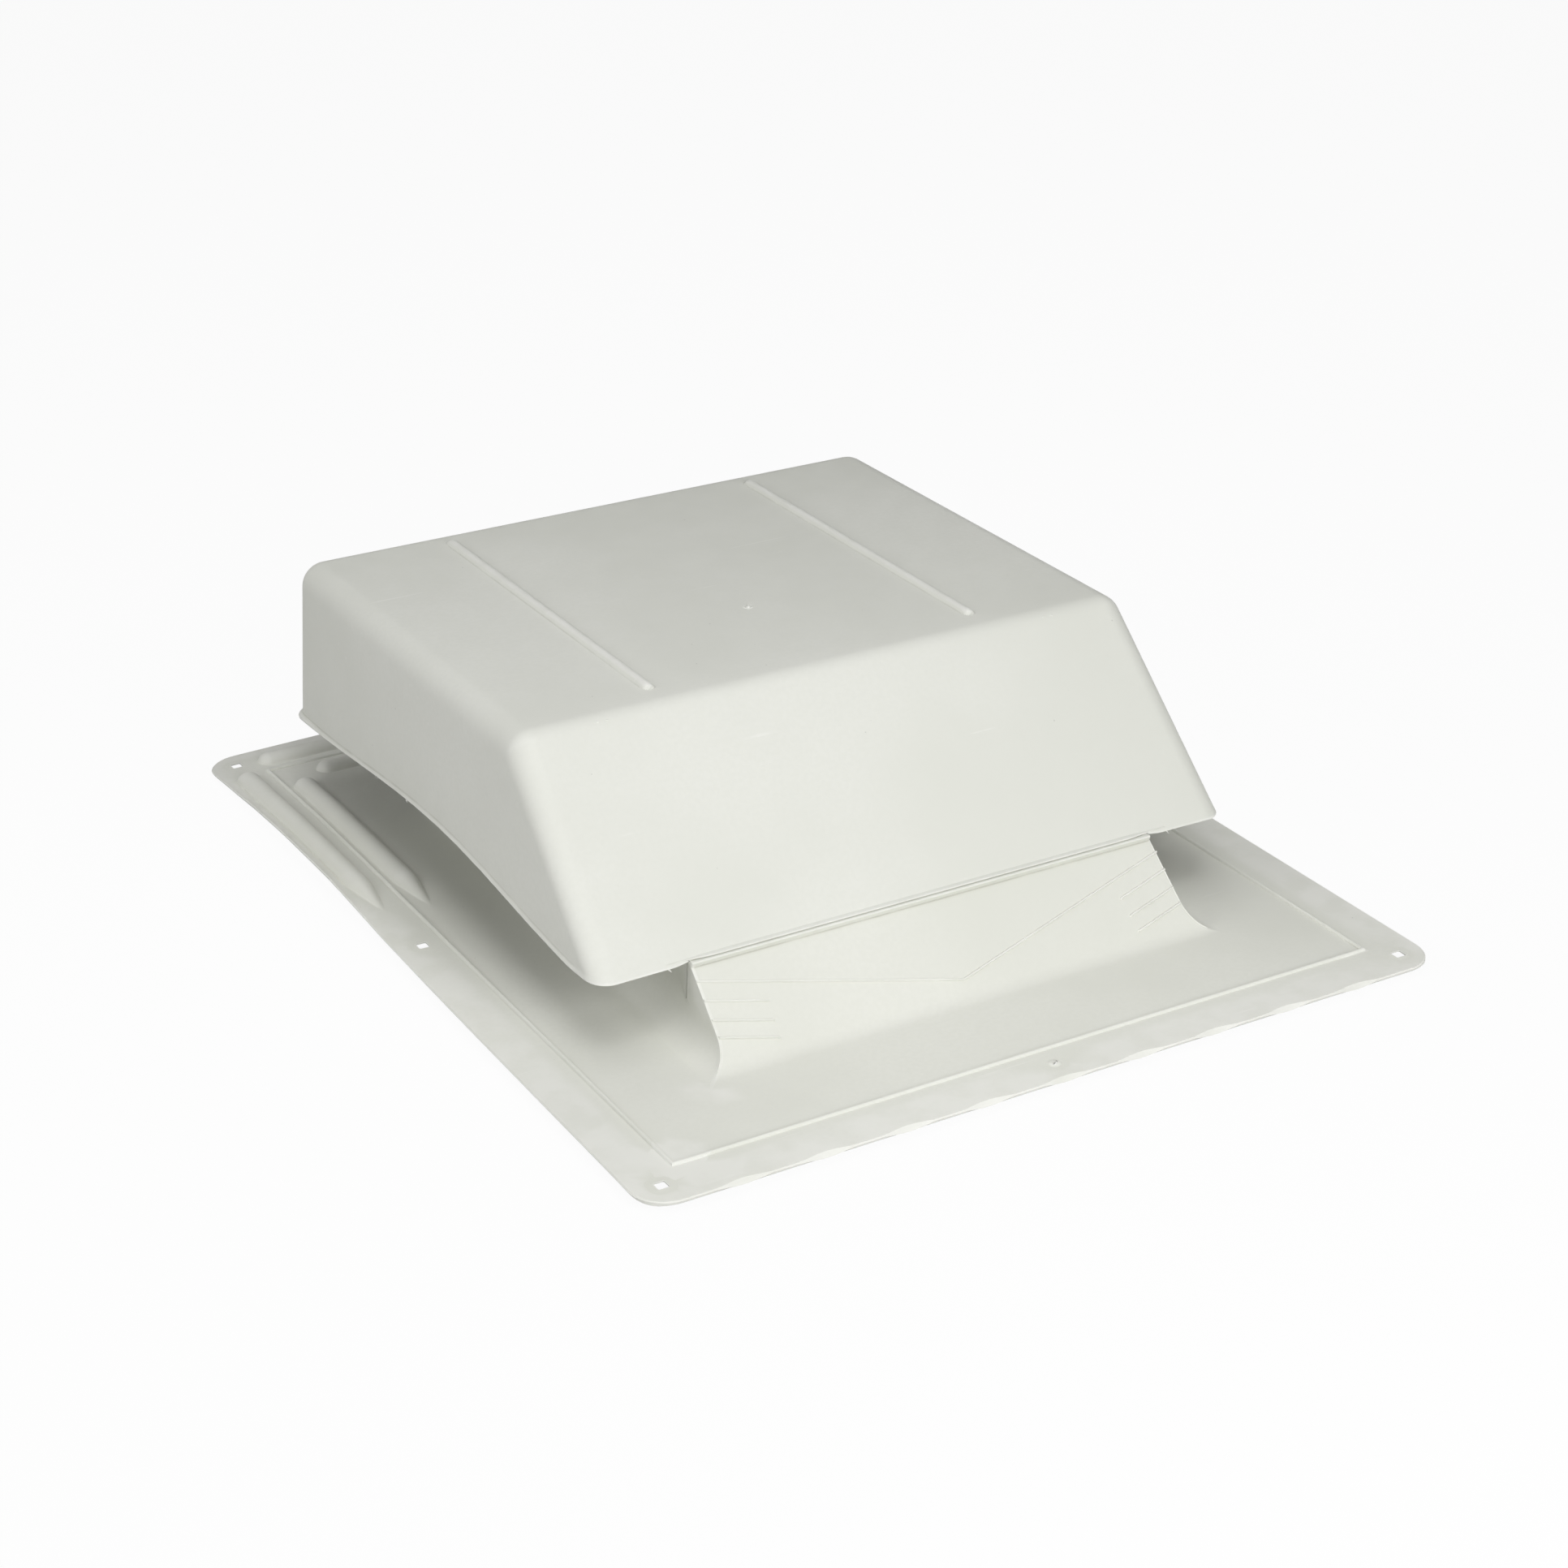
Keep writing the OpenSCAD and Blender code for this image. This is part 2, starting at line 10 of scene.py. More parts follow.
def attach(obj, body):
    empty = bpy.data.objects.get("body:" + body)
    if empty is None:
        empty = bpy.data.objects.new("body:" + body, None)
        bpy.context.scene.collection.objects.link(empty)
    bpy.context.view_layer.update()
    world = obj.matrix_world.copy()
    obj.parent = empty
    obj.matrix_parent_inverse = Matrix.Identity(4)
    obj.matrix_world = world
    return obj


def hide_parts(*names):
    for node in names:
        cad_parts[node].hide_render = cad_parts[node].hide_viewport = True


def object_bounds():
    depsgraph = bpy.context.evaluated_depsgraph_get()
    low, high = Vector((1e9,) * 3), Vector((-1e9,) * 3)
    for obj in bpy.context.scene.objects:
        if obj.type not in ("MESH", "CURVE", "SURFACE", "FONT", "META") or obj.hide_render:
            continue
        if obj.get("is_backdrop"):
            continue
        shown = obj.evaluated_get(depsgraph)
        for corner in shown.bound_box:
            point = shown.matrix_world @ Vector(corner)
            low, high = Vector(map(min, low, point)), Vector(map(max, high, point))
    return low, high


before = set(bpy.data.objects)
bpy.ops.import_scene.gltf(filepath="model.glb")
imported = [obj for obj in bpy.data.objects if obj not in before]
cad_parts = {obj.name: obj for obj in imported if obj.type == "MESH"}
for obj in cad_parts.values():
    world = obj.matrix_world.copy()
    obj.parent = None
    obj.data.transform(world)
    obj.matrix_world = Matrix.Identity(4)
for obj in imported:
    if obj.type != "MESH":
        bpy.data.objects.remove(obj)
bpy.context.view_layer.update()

# Camera: stands left of the ramp and a little above the hood, with a short telephoto lens.
# Its place and turn are those from which the vent was photographed.
scene = bpy.context.scene
view_azimuth = -29.76
view_elevation = 25.308
view_roll = -0.4765
camera_place = Vector((-0.657155, -1.153645, 0.665724))
photo_width = 1932
focal_pixels = 3818.5


def direction(turn, rise):
    """Unit vector at a turn from the front and a height angle, both in degrees."""
    turn = math.radians(turn)
    rise = math.radians(rise)
    level = math.cos(rise)
    return Vector((math.sin(turn) * level, -math.cos(turn) * level, math.sin(rise)))


camera_data = bpy.data.cameras.new("camera")
camera_data.sensor_width = 36
camera_data.lens = camera_data.sensor_width * focal_pixels / photo_width
camera_data.clip_start = 0.05
camera_data.clip_end = 50
camera = bpy.data.objects.new("camera", camera_data)
scene.collection.objects.link(camera)
level_turn = (-direction(view_azimuth, view_elevation)).to_track_quat("-Z", "Y")
camera.rotation_mode = "QUATERNION"
camera.rotation_quaternion = level_turn @ Quaternion((0, 0, 1), math.radians(view_roll))
camera.location = camera_place
scene.camera = camera

# Studio: softboxes in front, above and at the left, a small high lamp and a weak fill behind, in a
# room and on a pale floor that the camera and glossy surfaces see as white.
scene.view_settings.view_transform = "Standard"
lamp_aim = Vector((0, -0.03, 0.05))
# Each softbox: turn from the front, height angle, distance, width, length, watts.
softboxes = {
    "front_softbox": (0, 21, 1.25, 0.8, 0.6, 9),
    "overhead_softbox": (0, 89, 1.3, 1.2, 1.2, 4.4),
    "high_lamp": (-20, 60, 1.0, 0.6, 0.6, 2.2),
    "left_softbox": (-95, 25, 1.3, 0.8, 0.6, 4.8),
    "rear_fill": (180, 60, 1.3, 0.9, 0.7, 1.3),
}
floor_half = 6
floor_drop = 0.0032
floor_whiteness = 0.95
floor_colour = (0.8, 0.8, 0.8, 1)
paper_white = (1, 1, 1, 1)

for lamp_name, (turn, rise, distance, width, length, watts) in softboxes.items():
    towards_lamp = direction(turn, rise)
    lamp_data = bpy.data.lights.new(lamp_name, "AREA")
    lamp_data.shape = "RECTANGLE"
    lamp_data.size = width
    lamp_data.size_y = length
    lamp_data.energy = watts
    lamp = bpy.data.objects.new(lamp_name, lamp_data)
    lamp.location = lamp_aim + distance * towards_lamp
    lamp.rotation_mode = "QUATERNION"
    lamp.rotation_quaternion = (-towards_lamp).to_track_quat("-Z", "Y")
    scene.collection.objects.link(lamp)


def new_material(name):
    material = bpy.data.materials.new(name)
    material.use_nodes = True
    material.node_tree.nodes.clear()
    return material, material.node_tree.nodes, material.node_tree.links


def add_node(nodes, kind, sockets):
    """A node of a kind, with constants set on its own sockets."""
    node = nodes.new(kind)
    for socket, value in sockets.items():
        node.inputs[socket].default_value = value
    return node


def joined(nodes, links, operation, first, second):
    """Two values brought together by a math node."""
    node = nodes.new("ShaderNodeMath")
    node.operation = operation
    links.new(first, node.inputs[0])
    links.new(second, node.inputs[1])
    return node.outputs[0]


def seen_directly(nodes, links):
    """1 for camera, glossy and transmission rays, 0 for the light that falls on the vent."""
    path = nodes.new("ShaderNodeLightPath")
    total = path.outputs["Is Camera Ray"]
    for ray in ("Is Glossy Ray", "Is Transmission Ray"):
        total = joined(nodes, links, "MAXIMUM", total, path.outputs[ray])
    return total


world = bpy.data.worlds.new("white_room")
scene.world = world
world.use_nodes = True
room_nodes = world.node_tree.nodes
room_links = world.node_tree.links
room_nodes.clear()
room_white = add_node(room_nodes, "ShaderNodeBackground", {"Color": paper_white})
room_links.new(seen_directly(room_nodes, room_links), room_white.inputs["Strength"])
room_output = room_nodes.new("ShaderNodeOutputWorld")
room_links.new(room_white.outputs[0], room_output.inputs["Surface"])

floor_mesh = bpy.data.meshes.new("floor")
floor_corners = [(-1, -1), (1, -1), (1, 1), (-1, 1)]
floor_mesh.from_pydata(
    [(x * floor_half, y * floor_half, -floor_drop) for x, y in floor_corners],
    [],
    [(0, 1, 2, 3)],
)
floor = bpy.data.objects.new("floor", floor_mesh)
scene.collection.objects.link(floor)
floor_material, floor_nodes, floor_links = new_material("pale_floor")
floor_diffuse = add_node(floor_nodes, "ShaderNodeBsdfDiffuse", {"Color": floor_colour})
floor_glow = add_node(floor_nodes, "ShaderNodeEmission", {"Color": paper_white})
floor_share = add_node(floor_nodes, "ShaderNodeMath", {1: floor_whiteness})
floor_share.operation = "MULTIPLY"
floor_links.new(seen_directly(floor_nodes, floor_links), floor_share.inputs[0])
floor_mix = floor_nodes.new("ShaderNodeMixShader")
floor_links.new(floor_share.outputs[0], floor_mix.inputs[0])
floor_links.new(floor_diffuse.outputs[0], floor_mix.inputs[1])
floor_links.new(floor_glow.outputs[0], floor_mix.inputs[2])
floor_output = floor_nodes.new("ShaderNodeOutputMaterial")
floor_links.new(floor_mix.outputs[0], floor_output.inputs["Surface"])
floor_mesh.materials.append(floor_material)
floor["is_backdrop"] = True

# Flashing base: nailing flange, stiffeners, ramp and throat, injection moulded in one piece from
# light grey polypropylene. It lies on the roof deck and is nailed through the square holes.
flange_half_width = 200
flange_half_length = 244
flange_thick = 2
flange_corner = 17
edge_round = 0.5
edge_lean = 0.9
lean_width = 4
trim_pitch = 38.6
trim_start = -2
trim_reach = 180
trim_fade = 20
trim_depth = 1.8
trim_drop = 1.3
bead_x = 175.5
bead_front = -219.5
bead_rear = 215.5
bead_radius = 1.1
bead_foot = 0.4
nail_x = 186.5
nail_y = 230.5
nail_half = 2.5
nail_round = 0.7
nail_web = 0.5
nail_web_reach = 4
nail_burr = 0.12
burr_place = 0.4
burr_spread = 0.3
nail_places = [(-1, -1), (0, -1), (1, -1), (-1, 0), (1, 0), (-1, 1), (1, 1)]
stiff_radius = 6.4
stiff_hollow = 4.4
stiff_cone = 40
stiff_foot = 0.7
# Line, pointed end and round end of each side stiffener; line and half length of each rear bar.
side_stiffeners = [(166.6, 24.5, 187.2), (188.2, 29.5, 209.2)]
rear_bars = [(202, 148.5), (227.5, 170)]
# Flash over the hole in the middle of the front.
flash_y = -nail_y - 1
flash_radius = 3.3
flash_height = 0.9
# The left edge of the flange bows up and draws in, its rim curls, and the rear left corner sags.
bow_crown = 70
bow_length = 85
bow_end = 190
bow_fade = 60
bow_width = 40
bow_lift = 1.4
bow_draw = 0.8
end_fade = 30
curl_width = 6.5
curl_start = 20
curl_end = 235
curl_fade = 60
curl_lift = 2.4
sag_length = 104
sag_width = 140
sag_drop = 2.6
sag_draw = 1.2


def noise_texture(nodes, links, where, scale, detail):
    texture = add_node(nodes, "ShaderNodeTexNoise", {"Scale": scale, "Detail": detail})
    links.new(where, texture.inputs["Vector"])
    return texture.outputs["Fac"]


def moulded_plastic(name, tone, dull_tone, wear_and_highlight_tone, crease_dirt_and_shade_tone, speck_tone):
    """Matte plastic: cloudy colour, fine grain, scuffs, dark specks, edges painted pale as wear and painted
    highlight, and creases painted darker as dirt and painted shade.
    """
    material, nodes, links = new_material(name)
    place = nodes.new("ShaderNodeTexCoord").outputs["Object"]

    def noise(scale, detail, where=place):
        return noise_texture(nodes, links, where, scale, detail)

    def between(value, low, high, to_low=0, to_high=1):
        """Spreads a value smoothly from one range to another."""
        ranges = {"From Min": low, "From Max": high, "To Min": to_low, "To Max": to_high}
        spread_node = add_node(nodes, "ShaderNodeMapRange", ranges)
        spread_node.interpolation_type = "SMOOTHSTEP"
        links.new(value, spread_node.inputs["Value"])
        return spread_node.outputs["Result"]

    def times(first, second):
        return joined(nodes, links, "MULTIPLY", first, second)

    def tinted(base, share, colour):
        mix = nodes.new("ShaderNodeMix")
        mix.data_type = "RGBA"
        links.new(share, mix.inputs[0])
        if isinstance(base, tuple):
            mix.inputs[6].default_value = (*base, 1)
        else:
            links.new(base, mix.inputs[6])
        mix.inputs[7].default_value = (*colour, 1)
        return mix.outputs[2]

    def stretched(turn, along, across):
        """Coordinates drawn out in one direction, for marks from sliding and stacking."""
        turns = (0.3, 0.2, math.radians(turn))
        scales = (along, across, across)
        mapping = add_node(nodes, "ShaderNodeMapping", {"Rotation": turns, "Scale": scales})
        links.new(place, mapping.inputs["Vector"])
        return mapping.outputs["Vector"]

    def bump(height, strength, distance, over=None):
        """Fine relief, laid over another one where that is given."""
        relief = add_node(nodes, "ShaderNodeBump", {"Strength": strength, "Distance": distance})
        links.new(height, relief.inputs["Height"])
        if over:
            links.new(over.outputs[0], relief.inputs["Normal"])
        return relief

    cloud = between(noise(7, 3), 0.35, 0.65)
    mottle = between(noise(420, 2), 0.3, 0.7, 0, 0.35)
    rubbed = between(noise(26, 5), 0.52, 0.7)
    scuff = between(noise(1, 3, stretched(38, 5, 260)), 0.66, 0.74)
    scratch = between(noise(1, 2, stretched(-57, 9, 520)), 0.7, 0.745)
    marks = joined(nodes, links, "MAXIMUM", times(scuff, rubbed), times(scratch, rubbed))
    bend = nodes.new("ShaderNodeNewGeometry").outputs["Pointiness"]
    # Convex edges are painted lighter: partly wear, partly painted highlight.
    edge_wear_and_highlight = times(between(bend, 0.506, 0.535, 0, 0.6), between(noise(60, 4), 0.3, 0.6, 0.35, 1))
    # Concave corners and creases are painted darker: partly dirt, partly painted shade.
    crease_dirt_and_shade = times(between(bend, 0.494, 0.46, 0, 0.6), between(noise(45, 4), 0.3, 0.6, 0.4, 1))
    cells = add_node(nodes, "ShaderNodeTexVoronoi", {"Scale": 55})
    links.new(place, cells.inputs["Vector"])
    specks = between(cells.outputs["Distance"], 0.026, 0.014, 0, 0.22)

    colour = tinted(tone, cloud, dull_tone)
    colour = tinted(colour, mottle, dull_tone)
    # Painted shade, partly dirt, darkens the concave creases.
    colour = tinted(colour, crease_dirt_and_shade, crease_dirt_and_shade_tone)
    # Painted highlight, partly wear, lightens the convex edges.
    colour = tinted(colour, edge_wear_and_highlight, wear_and_highlight_tone)
    colour = tinted(colour, between(marks, 0, 1, 0, 0.45), wear_and_highlight_tone)
    colour = tinted(colour, specks, speck_tone)

    sag = bump(noise(32, 2), 0.05, 0.0012)
    cut = bump(marks, 0.2, 0.0001, over=sag)
    cut.invert = True
    grain = bump(noise(1500, 2), 0.16, 0.00012, over=cut)

    shader = add_node(nodes, "ShaderNodeBsdfPrincipled", {"Specular IOR Level": 0.22})
    links.new(colour, shader.inputs["Base Color"])
    links.new(between(noise(90, 4), 0.3, 0.7, 0.54, 0.68), shader.inputs["Roughness"])
    links.new(grain.outputs[0], shader.inputs["Normal"])
    links.new(shader.outputs[0], nodes.new("ShaderNodeOutputMaterial").inputs["Surface"])
    return material


base_plastic = moulded_plastic(
    "base_plastic",
    tone=(0.775, 0.78, 0.722),
    dull_tone=(0.728, 0.735, 0.672),
    # The edge tone is painted highlight and wear; the crease tone is painted shade and dirt.
    wear_and_highlight_tone=(0.85, 0.85, 0.81),
    crease_dirt_and_shade_tone=(0.52, 0.52, 0.46),
    speck_tone=(0.1, 0.09, 0.07),
)


def smooth_max(a, b, blend):
    """The larger of two heights, with the corner between them rounded over `blend`."""
    return np.maximum(a, b) + np.maximum(blend - np.abs(a - b), 0) ** 2 / (4 * blend)


def half_round(radius, off):
    """Height of a half-round form above its axis, falling steeply outside its own width."""
    inside = np.sqrt(np.maximum(radius**2 - off**2, 0))
    return np.where(off < radius, inside, 3 * (radius - off))


def covered(distance, length):
    """Share of a length that a distance covers, from 0 to 1."""
    return np.clip(distance / length, 0, 1)


def stiffener_height(x, y, radius):
    """Height of all stiffeners over the underside of the flange."""
    best = np.full(np.shape(x), -9.0)
    for line, apex, end in side_stiffeners:
        reach = np.clip((y - apex) / stiff_cone, 0.02, 1)
        local = np.maximum(radius - (1 - reach) * stiff_radius, 0.05)
        past = np.maximum(y - end, 0)
        best = np.maximum(best, half_round(local, np.hypot(np.abs(x) - line, past)))
    for line, half in rear_bars:
        past = np.maximum(np.abs(x) - half, 0)
        best = np.maximum(best, half_round(radius, np.hypot(y - line, past)))
    return best


def bead_height(x, y):
    """Height of the half-round bead line over the top of the flange."""
    across = np.where((y > bead_front) & (y < bead_rear), np.abs(np.abs(x) - bead_x), 99)
    front = np.where(np.abs(x) < bead_x, np.abs(y - bead_front), 99)
    rear = np.where(np.abs(x) < bead_x, np.abs(y - bead_rear), 99)
    corner_front = np.hypot(np.abs(x) - bead_x, y - bead_front)
    corner_rear = np.hypot(np.abs(x) - bead_x, y - bead_rear)
    off = np.minimum.reduce([across, front, rear, corner_front, corner_rear])
    return half_round(bead_radius, off)


def nail_offsets(x, y):
    """Distance from the edge of each nail hole, measured square, and the height of its burr."""
    for i, j in nail_places:
        off = np.maximum(np.abs(x - i * nail_x), np.abs(y - j * nail_y)) - nail_half
        yield off, nail_burr if i else 0


def flange_top(x, y):
    height = smooth_max(stiffener_height(x, y, stiff_radius), flange_thick + 0 * x, stiff_foot)
    height = smooth_max(bead_height(x, y) + flange_thick, height, bead_foot)
    for off, burr in nail_offsets(x, y):
        height = height + burr * np.exp(-((off - burr_place) ** 2) / burr_spread)
    swollen = np.hypot(x, (y - flash_y) / 0.9) / flash_radius
    return height + flash_height * np.clip(1 - swollen**2, 0, 1) ** 1.5


def flange_under(x, y):
    """Underside with the hollow stiffeners and a thinned web round each nail hole."""
    height = np.maximum(stiffener_height(x, y, stiff_hollow), 0)
    for off, _ in nail_offsets(x, y):
        height = np.maximum(height, (flange_thick - nail_web) * np.clip(nail_web_reach - off, 0, 1))
    return height


def trim_wave(x):
    """Where the front edge was trimmed by knife: 0 for a crisp edge, 1 for the widest chamfer."""
    wave = np.cos(2 * math.pi * (x - trim_start) / trim_pitch)
    return np.clip(0.25 + 0.75 * wave, 0, 1) * covered(trim_reach - np.abs(x), trim_fade)


def warp(points):
    """The thin flange has pulled in and curled up at the left, and sags at its rear left corner."""
    x, y, z = points.T
    from_left = flange_half_width + x
    from_rear = flange_half_length - y
    swell = 0.25 * covered(bow_end - y, bow_fade) + 0.75 * np.exp(-(((y - bow_crown) / bow_length) ** 2))
    swell *= covered(flange_half_length - np.abs(y), end_fade)
    bow = swell * covered(bow_width - from_left, bow_width) ** 2
    sag = (covered(sag_length - from_rear, sag_length) * covered(sag_width - from_left, sag_width)) ** 1.2
    curl = covered(curl_width - from_left, curl_width) ** 1.2
    curl *= covered(y - curl_start, curl_fade) * covered(curl_end - y, curl_fade)
    lift = bow_lift * bow + curl_lift * curl - sag_drop * sag
    return np.column_stack([x + bow_draw * bow - sag_draw * sag, y, z + lift])


def spread(start, stop, step):
    """Evenly spaced values from start to stop, both included."""
    return np.linspace(start, stop, max(2, round(abs(stop - start) / step) + 1))


def corner_arcs(half, low, high, radius, segments):
    """Round corners of a rectangle in plan, from the front left one, each with the next."""
    middles = [
        (-half + radius, low + radius, 180),
        (half - radius, low + radius, 270),
        (half - radius, high - radius, 0),
        (-half + radius, high - radius, 90),
    ]
    arcs = []
    for x, y, start in middles:
        turns = np.radians(start + np.linspace(0, 90, segments + 1))
        arcs.append(np.column_stack([x + radius * np.cos(turns), y + radius * np.sin(turns)]))
    return zip(arcs, [*arcs[1:], arcs[0]])


def rounded_loop(half, low, high, radius, step, segments):
    """Closed plan loop of a rectangle with round corners."""
    loop = []
    for arc, following in corner_arcs(half, low, high, radius, segments):
        count = max(2, round(np.linalg.norm(following[0] - arc[-1]) / step) + 1)
        loop += [*arc, *np.linspace(arc[-1], following[0], count)[1:-1]]
    return np.array(loop)


sheet_points = []
sheet_edges = []


def score(line, closed=False):
    """Adds a line of plan points that the flange mesh has to follow."""
    first = len(sheet_points)
    sheet_points.extend(np.asarray(line, float))
    last = len(sheet_points)
    sheet_edges.extend((i, i + 1) for i in range(first, last - 1))
    if closed:
        sheet_edges.append((last - 1, first))


# The throat has four walls. Each row of it gives half width, front, rear and height.
throat_half = 120
throat_rear = 125
throat_wall = 2
wall_splay = 0.5
wall_draft = 1.3
draft_foot = 8
draft_height = 28
cove_radius = 11.5
ramp_top = (-133.5, 33.57)
ramp_foot = -168.6
ledge_z = 36.7
ledge_flat = -130.6
nose_top = 37.05
ledge_nose = 0.55
nose_turn = 203
lap_front = -126.77
lap_top_front = -111.27
lap_run = 2.838
rim_z = 52
rim_width = 7
rim_depth = 6
groove_outside = 118.2
groove_inside = 114.8
groove_floor = 48
groove_front = -108.43
foot_ease = 6.25
corner_segments = 3
corner_soft = 0.5
front_count = 26
side_count = 30

ramp_run = (ramp_top[0] - ramp_foot) / (ramp_top[1] - flange_thick)
ramp_angle = math.atan(1 / ramp_run)
ramp_inside = ramp_top[0] + throat_wall / math.sin(ramp_angle)
under_ledge = ledge_z - throat_wall
lap_lean = (lap_top_front - lap_front) / (rim_z - ledge_z)
lap_inside = lap_front + lap_run
rim_inside = throat_half - rim_width
bore = throat_half - throat_wall
rear_step = throat_rear - throat_half


def wall_half(z):
    """Half width of the throat outside; the walls draw in a little towards the top."""
    return throat_half + wall_splay - wall_draft * covered(z - draft_foot, draft_height)


def lap_in(z):
    return lap_inside + (z - ledge_z) * lap_lean


def ramp_in(z):
    return ramp_inside + (z - ramp_top[1]) * ramp_run


throat_rows = []
for turn in np.radians(np.linspace(0, 90, 19)):
    out = cove_radius * (1 - math.sin(turn))
    z = flange_thick + cove_radius * (1 - math.cos(turn))
    front = ramp_foot - cove_radius * (math.tan(ramp_angle / 2) - math.sin(turn))
    if turn > ramp_angle:
        front = ramp_foot + (z - flange_thick) * ramp_run
    throat_rows.append((wall_half(z) + out, front, throat_rear + out, z))
# The ledge ends in a rolled nose, a little proud, that turns under and meets the ramp in a crease.
nose = []
for turn in np.radians(np.linspace(nose_turn, 90, 6)):
    y = ramp_top[0] + ledge_nose * (1 + math.cos(turn))
    nose.append((y, nose_top - ledge_nose * (1 - math.sin(turn))))
under_slope = math.tan(math.radians(nose_turn - 180))
nose_y, nose_z = nose[0]
sink = (nose_z - ramp_top[1]) * ramp_run - (nose_y - ramp_top[0])
sink /= ramp_run + under_slope
crease = (nose_y + under_slope * sink, nose_z - sink)
for back in (1.2, 0.4, 0):
    z = crease[1] - back / ramp_run
    throat_rows.append((wall_half(crease[1]), crease[0] - back, throat_rear, z))
ramp_row_count = len(throat_rows)
for share in (0.2, 0.7):
    y = crease[0] + share * (nose_y - crease[0])
    z = crease[1] + share * (nose_z - crease[1])
    throat_rows.append((wall_half(z), y, throat_rear, z))
for front, z in (*nose, (ledge_flat, ledge_z), (lap_front, ledge_z), (lap_top_front, rim_z)):
    throat_rows.append((wall_half(z), front, throat_rear, z))
groove_rows = [
    (half, groove_front, half + rear_step, z)
    for half, z in (
        (groove_outside, rim_z),
        (groove_outside, groove_floor),
        (groove_inside, groove_floor),
        (groove_inside, rim_z),
    )
]
inner_rows = [
    (half, front, half + rear_step, z)
    for half, front, z in (
        (rim_inside, lap_in(rim_z), rim_z),
        (rim_inside, lap_in(rim_z - rim_depth), rim_z - rim_depth),
        (bore, lap_in(rim_z - rim_depth), rim_z - rim_depth),
        (bore, lap_in(under_ledge), under_ledge),
        (bore, ramp_in(under_ledge), under_ledge),
        (bore, ramp_in(foot_ease), foot_ease),
        (bore + foot_ease, ramp_in(0), 0),
    )
]
inner_rows.append((*throat_rows[0][:3], 0))


def throat_loop(row):
    """Ring of points round the throat, with the same count in every row."""
    half, front, rear, z = row
    arcs = corner_arcs(half, front, rear, corner_soft, corner_segments)
    loop = []
    for (arc, following), count in zip(arcs, (front_count, side_count, front_count, side_count)):
        shares = [0.004, *np.linspace(0, 1, count + 1)[1:-1], 0.996]
        loop += [*arc, *(arc[-1] + share * (following[0] - arc[-1]) for share in shares)]
    return np.column_stack([np.array(loop), np.full(len(loop), z)])


# Plan lines of the flange: outline, bead, stiffeners, nail holes and the throat opening.
for inset in (0, edge_round):
    edge_loop = rounded_loop(
        flange_half_width - inset,
        inset - flange_half_length,
        flange_half_length - inset,
        flange_corner - inset,
        step=4,
        segments=10,
    )
    if inset:
        at_front = edge_loop[:, 1] < inset - flange_half_length + 0.01
        edge_loop[:, 1] += np.where(at_front, trim_depth * trim_wave(edge_loop[:, 0]), 0)
    score(edge_loop, closed=True)
for share in (-1.8, -1.35, -1.1, -0.95, -0.75, -0.4, 0, 0.4, 0.75, 0.95, 1.1, 1.35, 1.8):
    off = share * bead_radius
    bead_loop = rounded_loop(bead_x + off, bead_front - off, bead_rear + off, 0.01, step=9, segments=1)
    score(bead_loop, closed=True)
foot_shares = (0, 0.3, 0.55, 0.75, 0.87, 0.95, 1)
foot_steps = (0.3, 0.7, 1.4)
full_foot = math.sqrt(stiff_radius**2 - flange_thick**2)
end_turns = np.radians(np.linspace(0, 180, 15))
full_offsets = [share * full_foot for share in foot_shares] + [full_foot + s for s in foot_steps]
for side in (-1, 1):
    for line, apex, end in side_stiffeners:
        tip = apex + stiff_cone * flange_thick / stiff_radius
        cone_ys = spread(tip, apex + stiff_cone, 3)
        ys = np.concatenate([cone_ys, spread(apex + stiff_cone, end, 9)[1:]])
        radius = stiff_radius * np.clip((ys - apex) / stiff_cone, 0, 1)
        foot = np.sqrt(np.maximum(radius**2 - flange_thick**2, 0))
        offsets = [share * foot for share in foot_shares] + [foot + step for step in foot_steps]
        for off, full in zip(offsets, full_offsets):
            cap = np.column_stack([full * np.cos(end_turns), end + full * np.sin(end_turns)])[1:-1]
            right = np.column_stack([off, ys])
            left = np.column_stack([-off, ys])[::-1]
            path = right if full == 0 else np.concatenate([right, cap, left])
            score(np.column_stack([side * (line + path[:, 0]), path[:, 1]]))
        tip_turns = np.radians(np.linspace(200, 340, 6))
        for step in foot_steps:
            tip_x = side * (line + step * np.cos(tip_turns))
            score(np.column_stack([tip_x, tip + step * np.sin(tip_turns)]))
for line, half in rear_bars:
    xs = spread(-half, half, 12)
    score(np.column_stack([xs, np.full(len(xs), line)]))
    for off in full_offsets[1:]:
        right_end = np.column_stack([half + off * np.sin(end_turns), line + off * np.cos(end_turns)])
        left_end = np.column_stack([-half - off * np.sin(end_turns), line - off * np.cos(end_turns)])
        upper = np.column_stack([xs, np.full(len(xs), line + off)])
        lower = np.column_stack([xs[::-1], np.full(len(xs), line - off)])
        score(np.concatenate([upper, right_end[1:-1], lower, left_end[1:-1]]), closed=True)
for i, j in nail_places:
    for grow in (0, 0.3, 0.6, 1, 1.5, 3, 4):
        reach = nail_half + grow
        loop = rounded_loop(reach, -reach, reach, nail_round + grow, step=1.6, segments=3)
        if i or grow:
            score(loop + np.array([i * nail_x, j * nail_y]), closed=True)
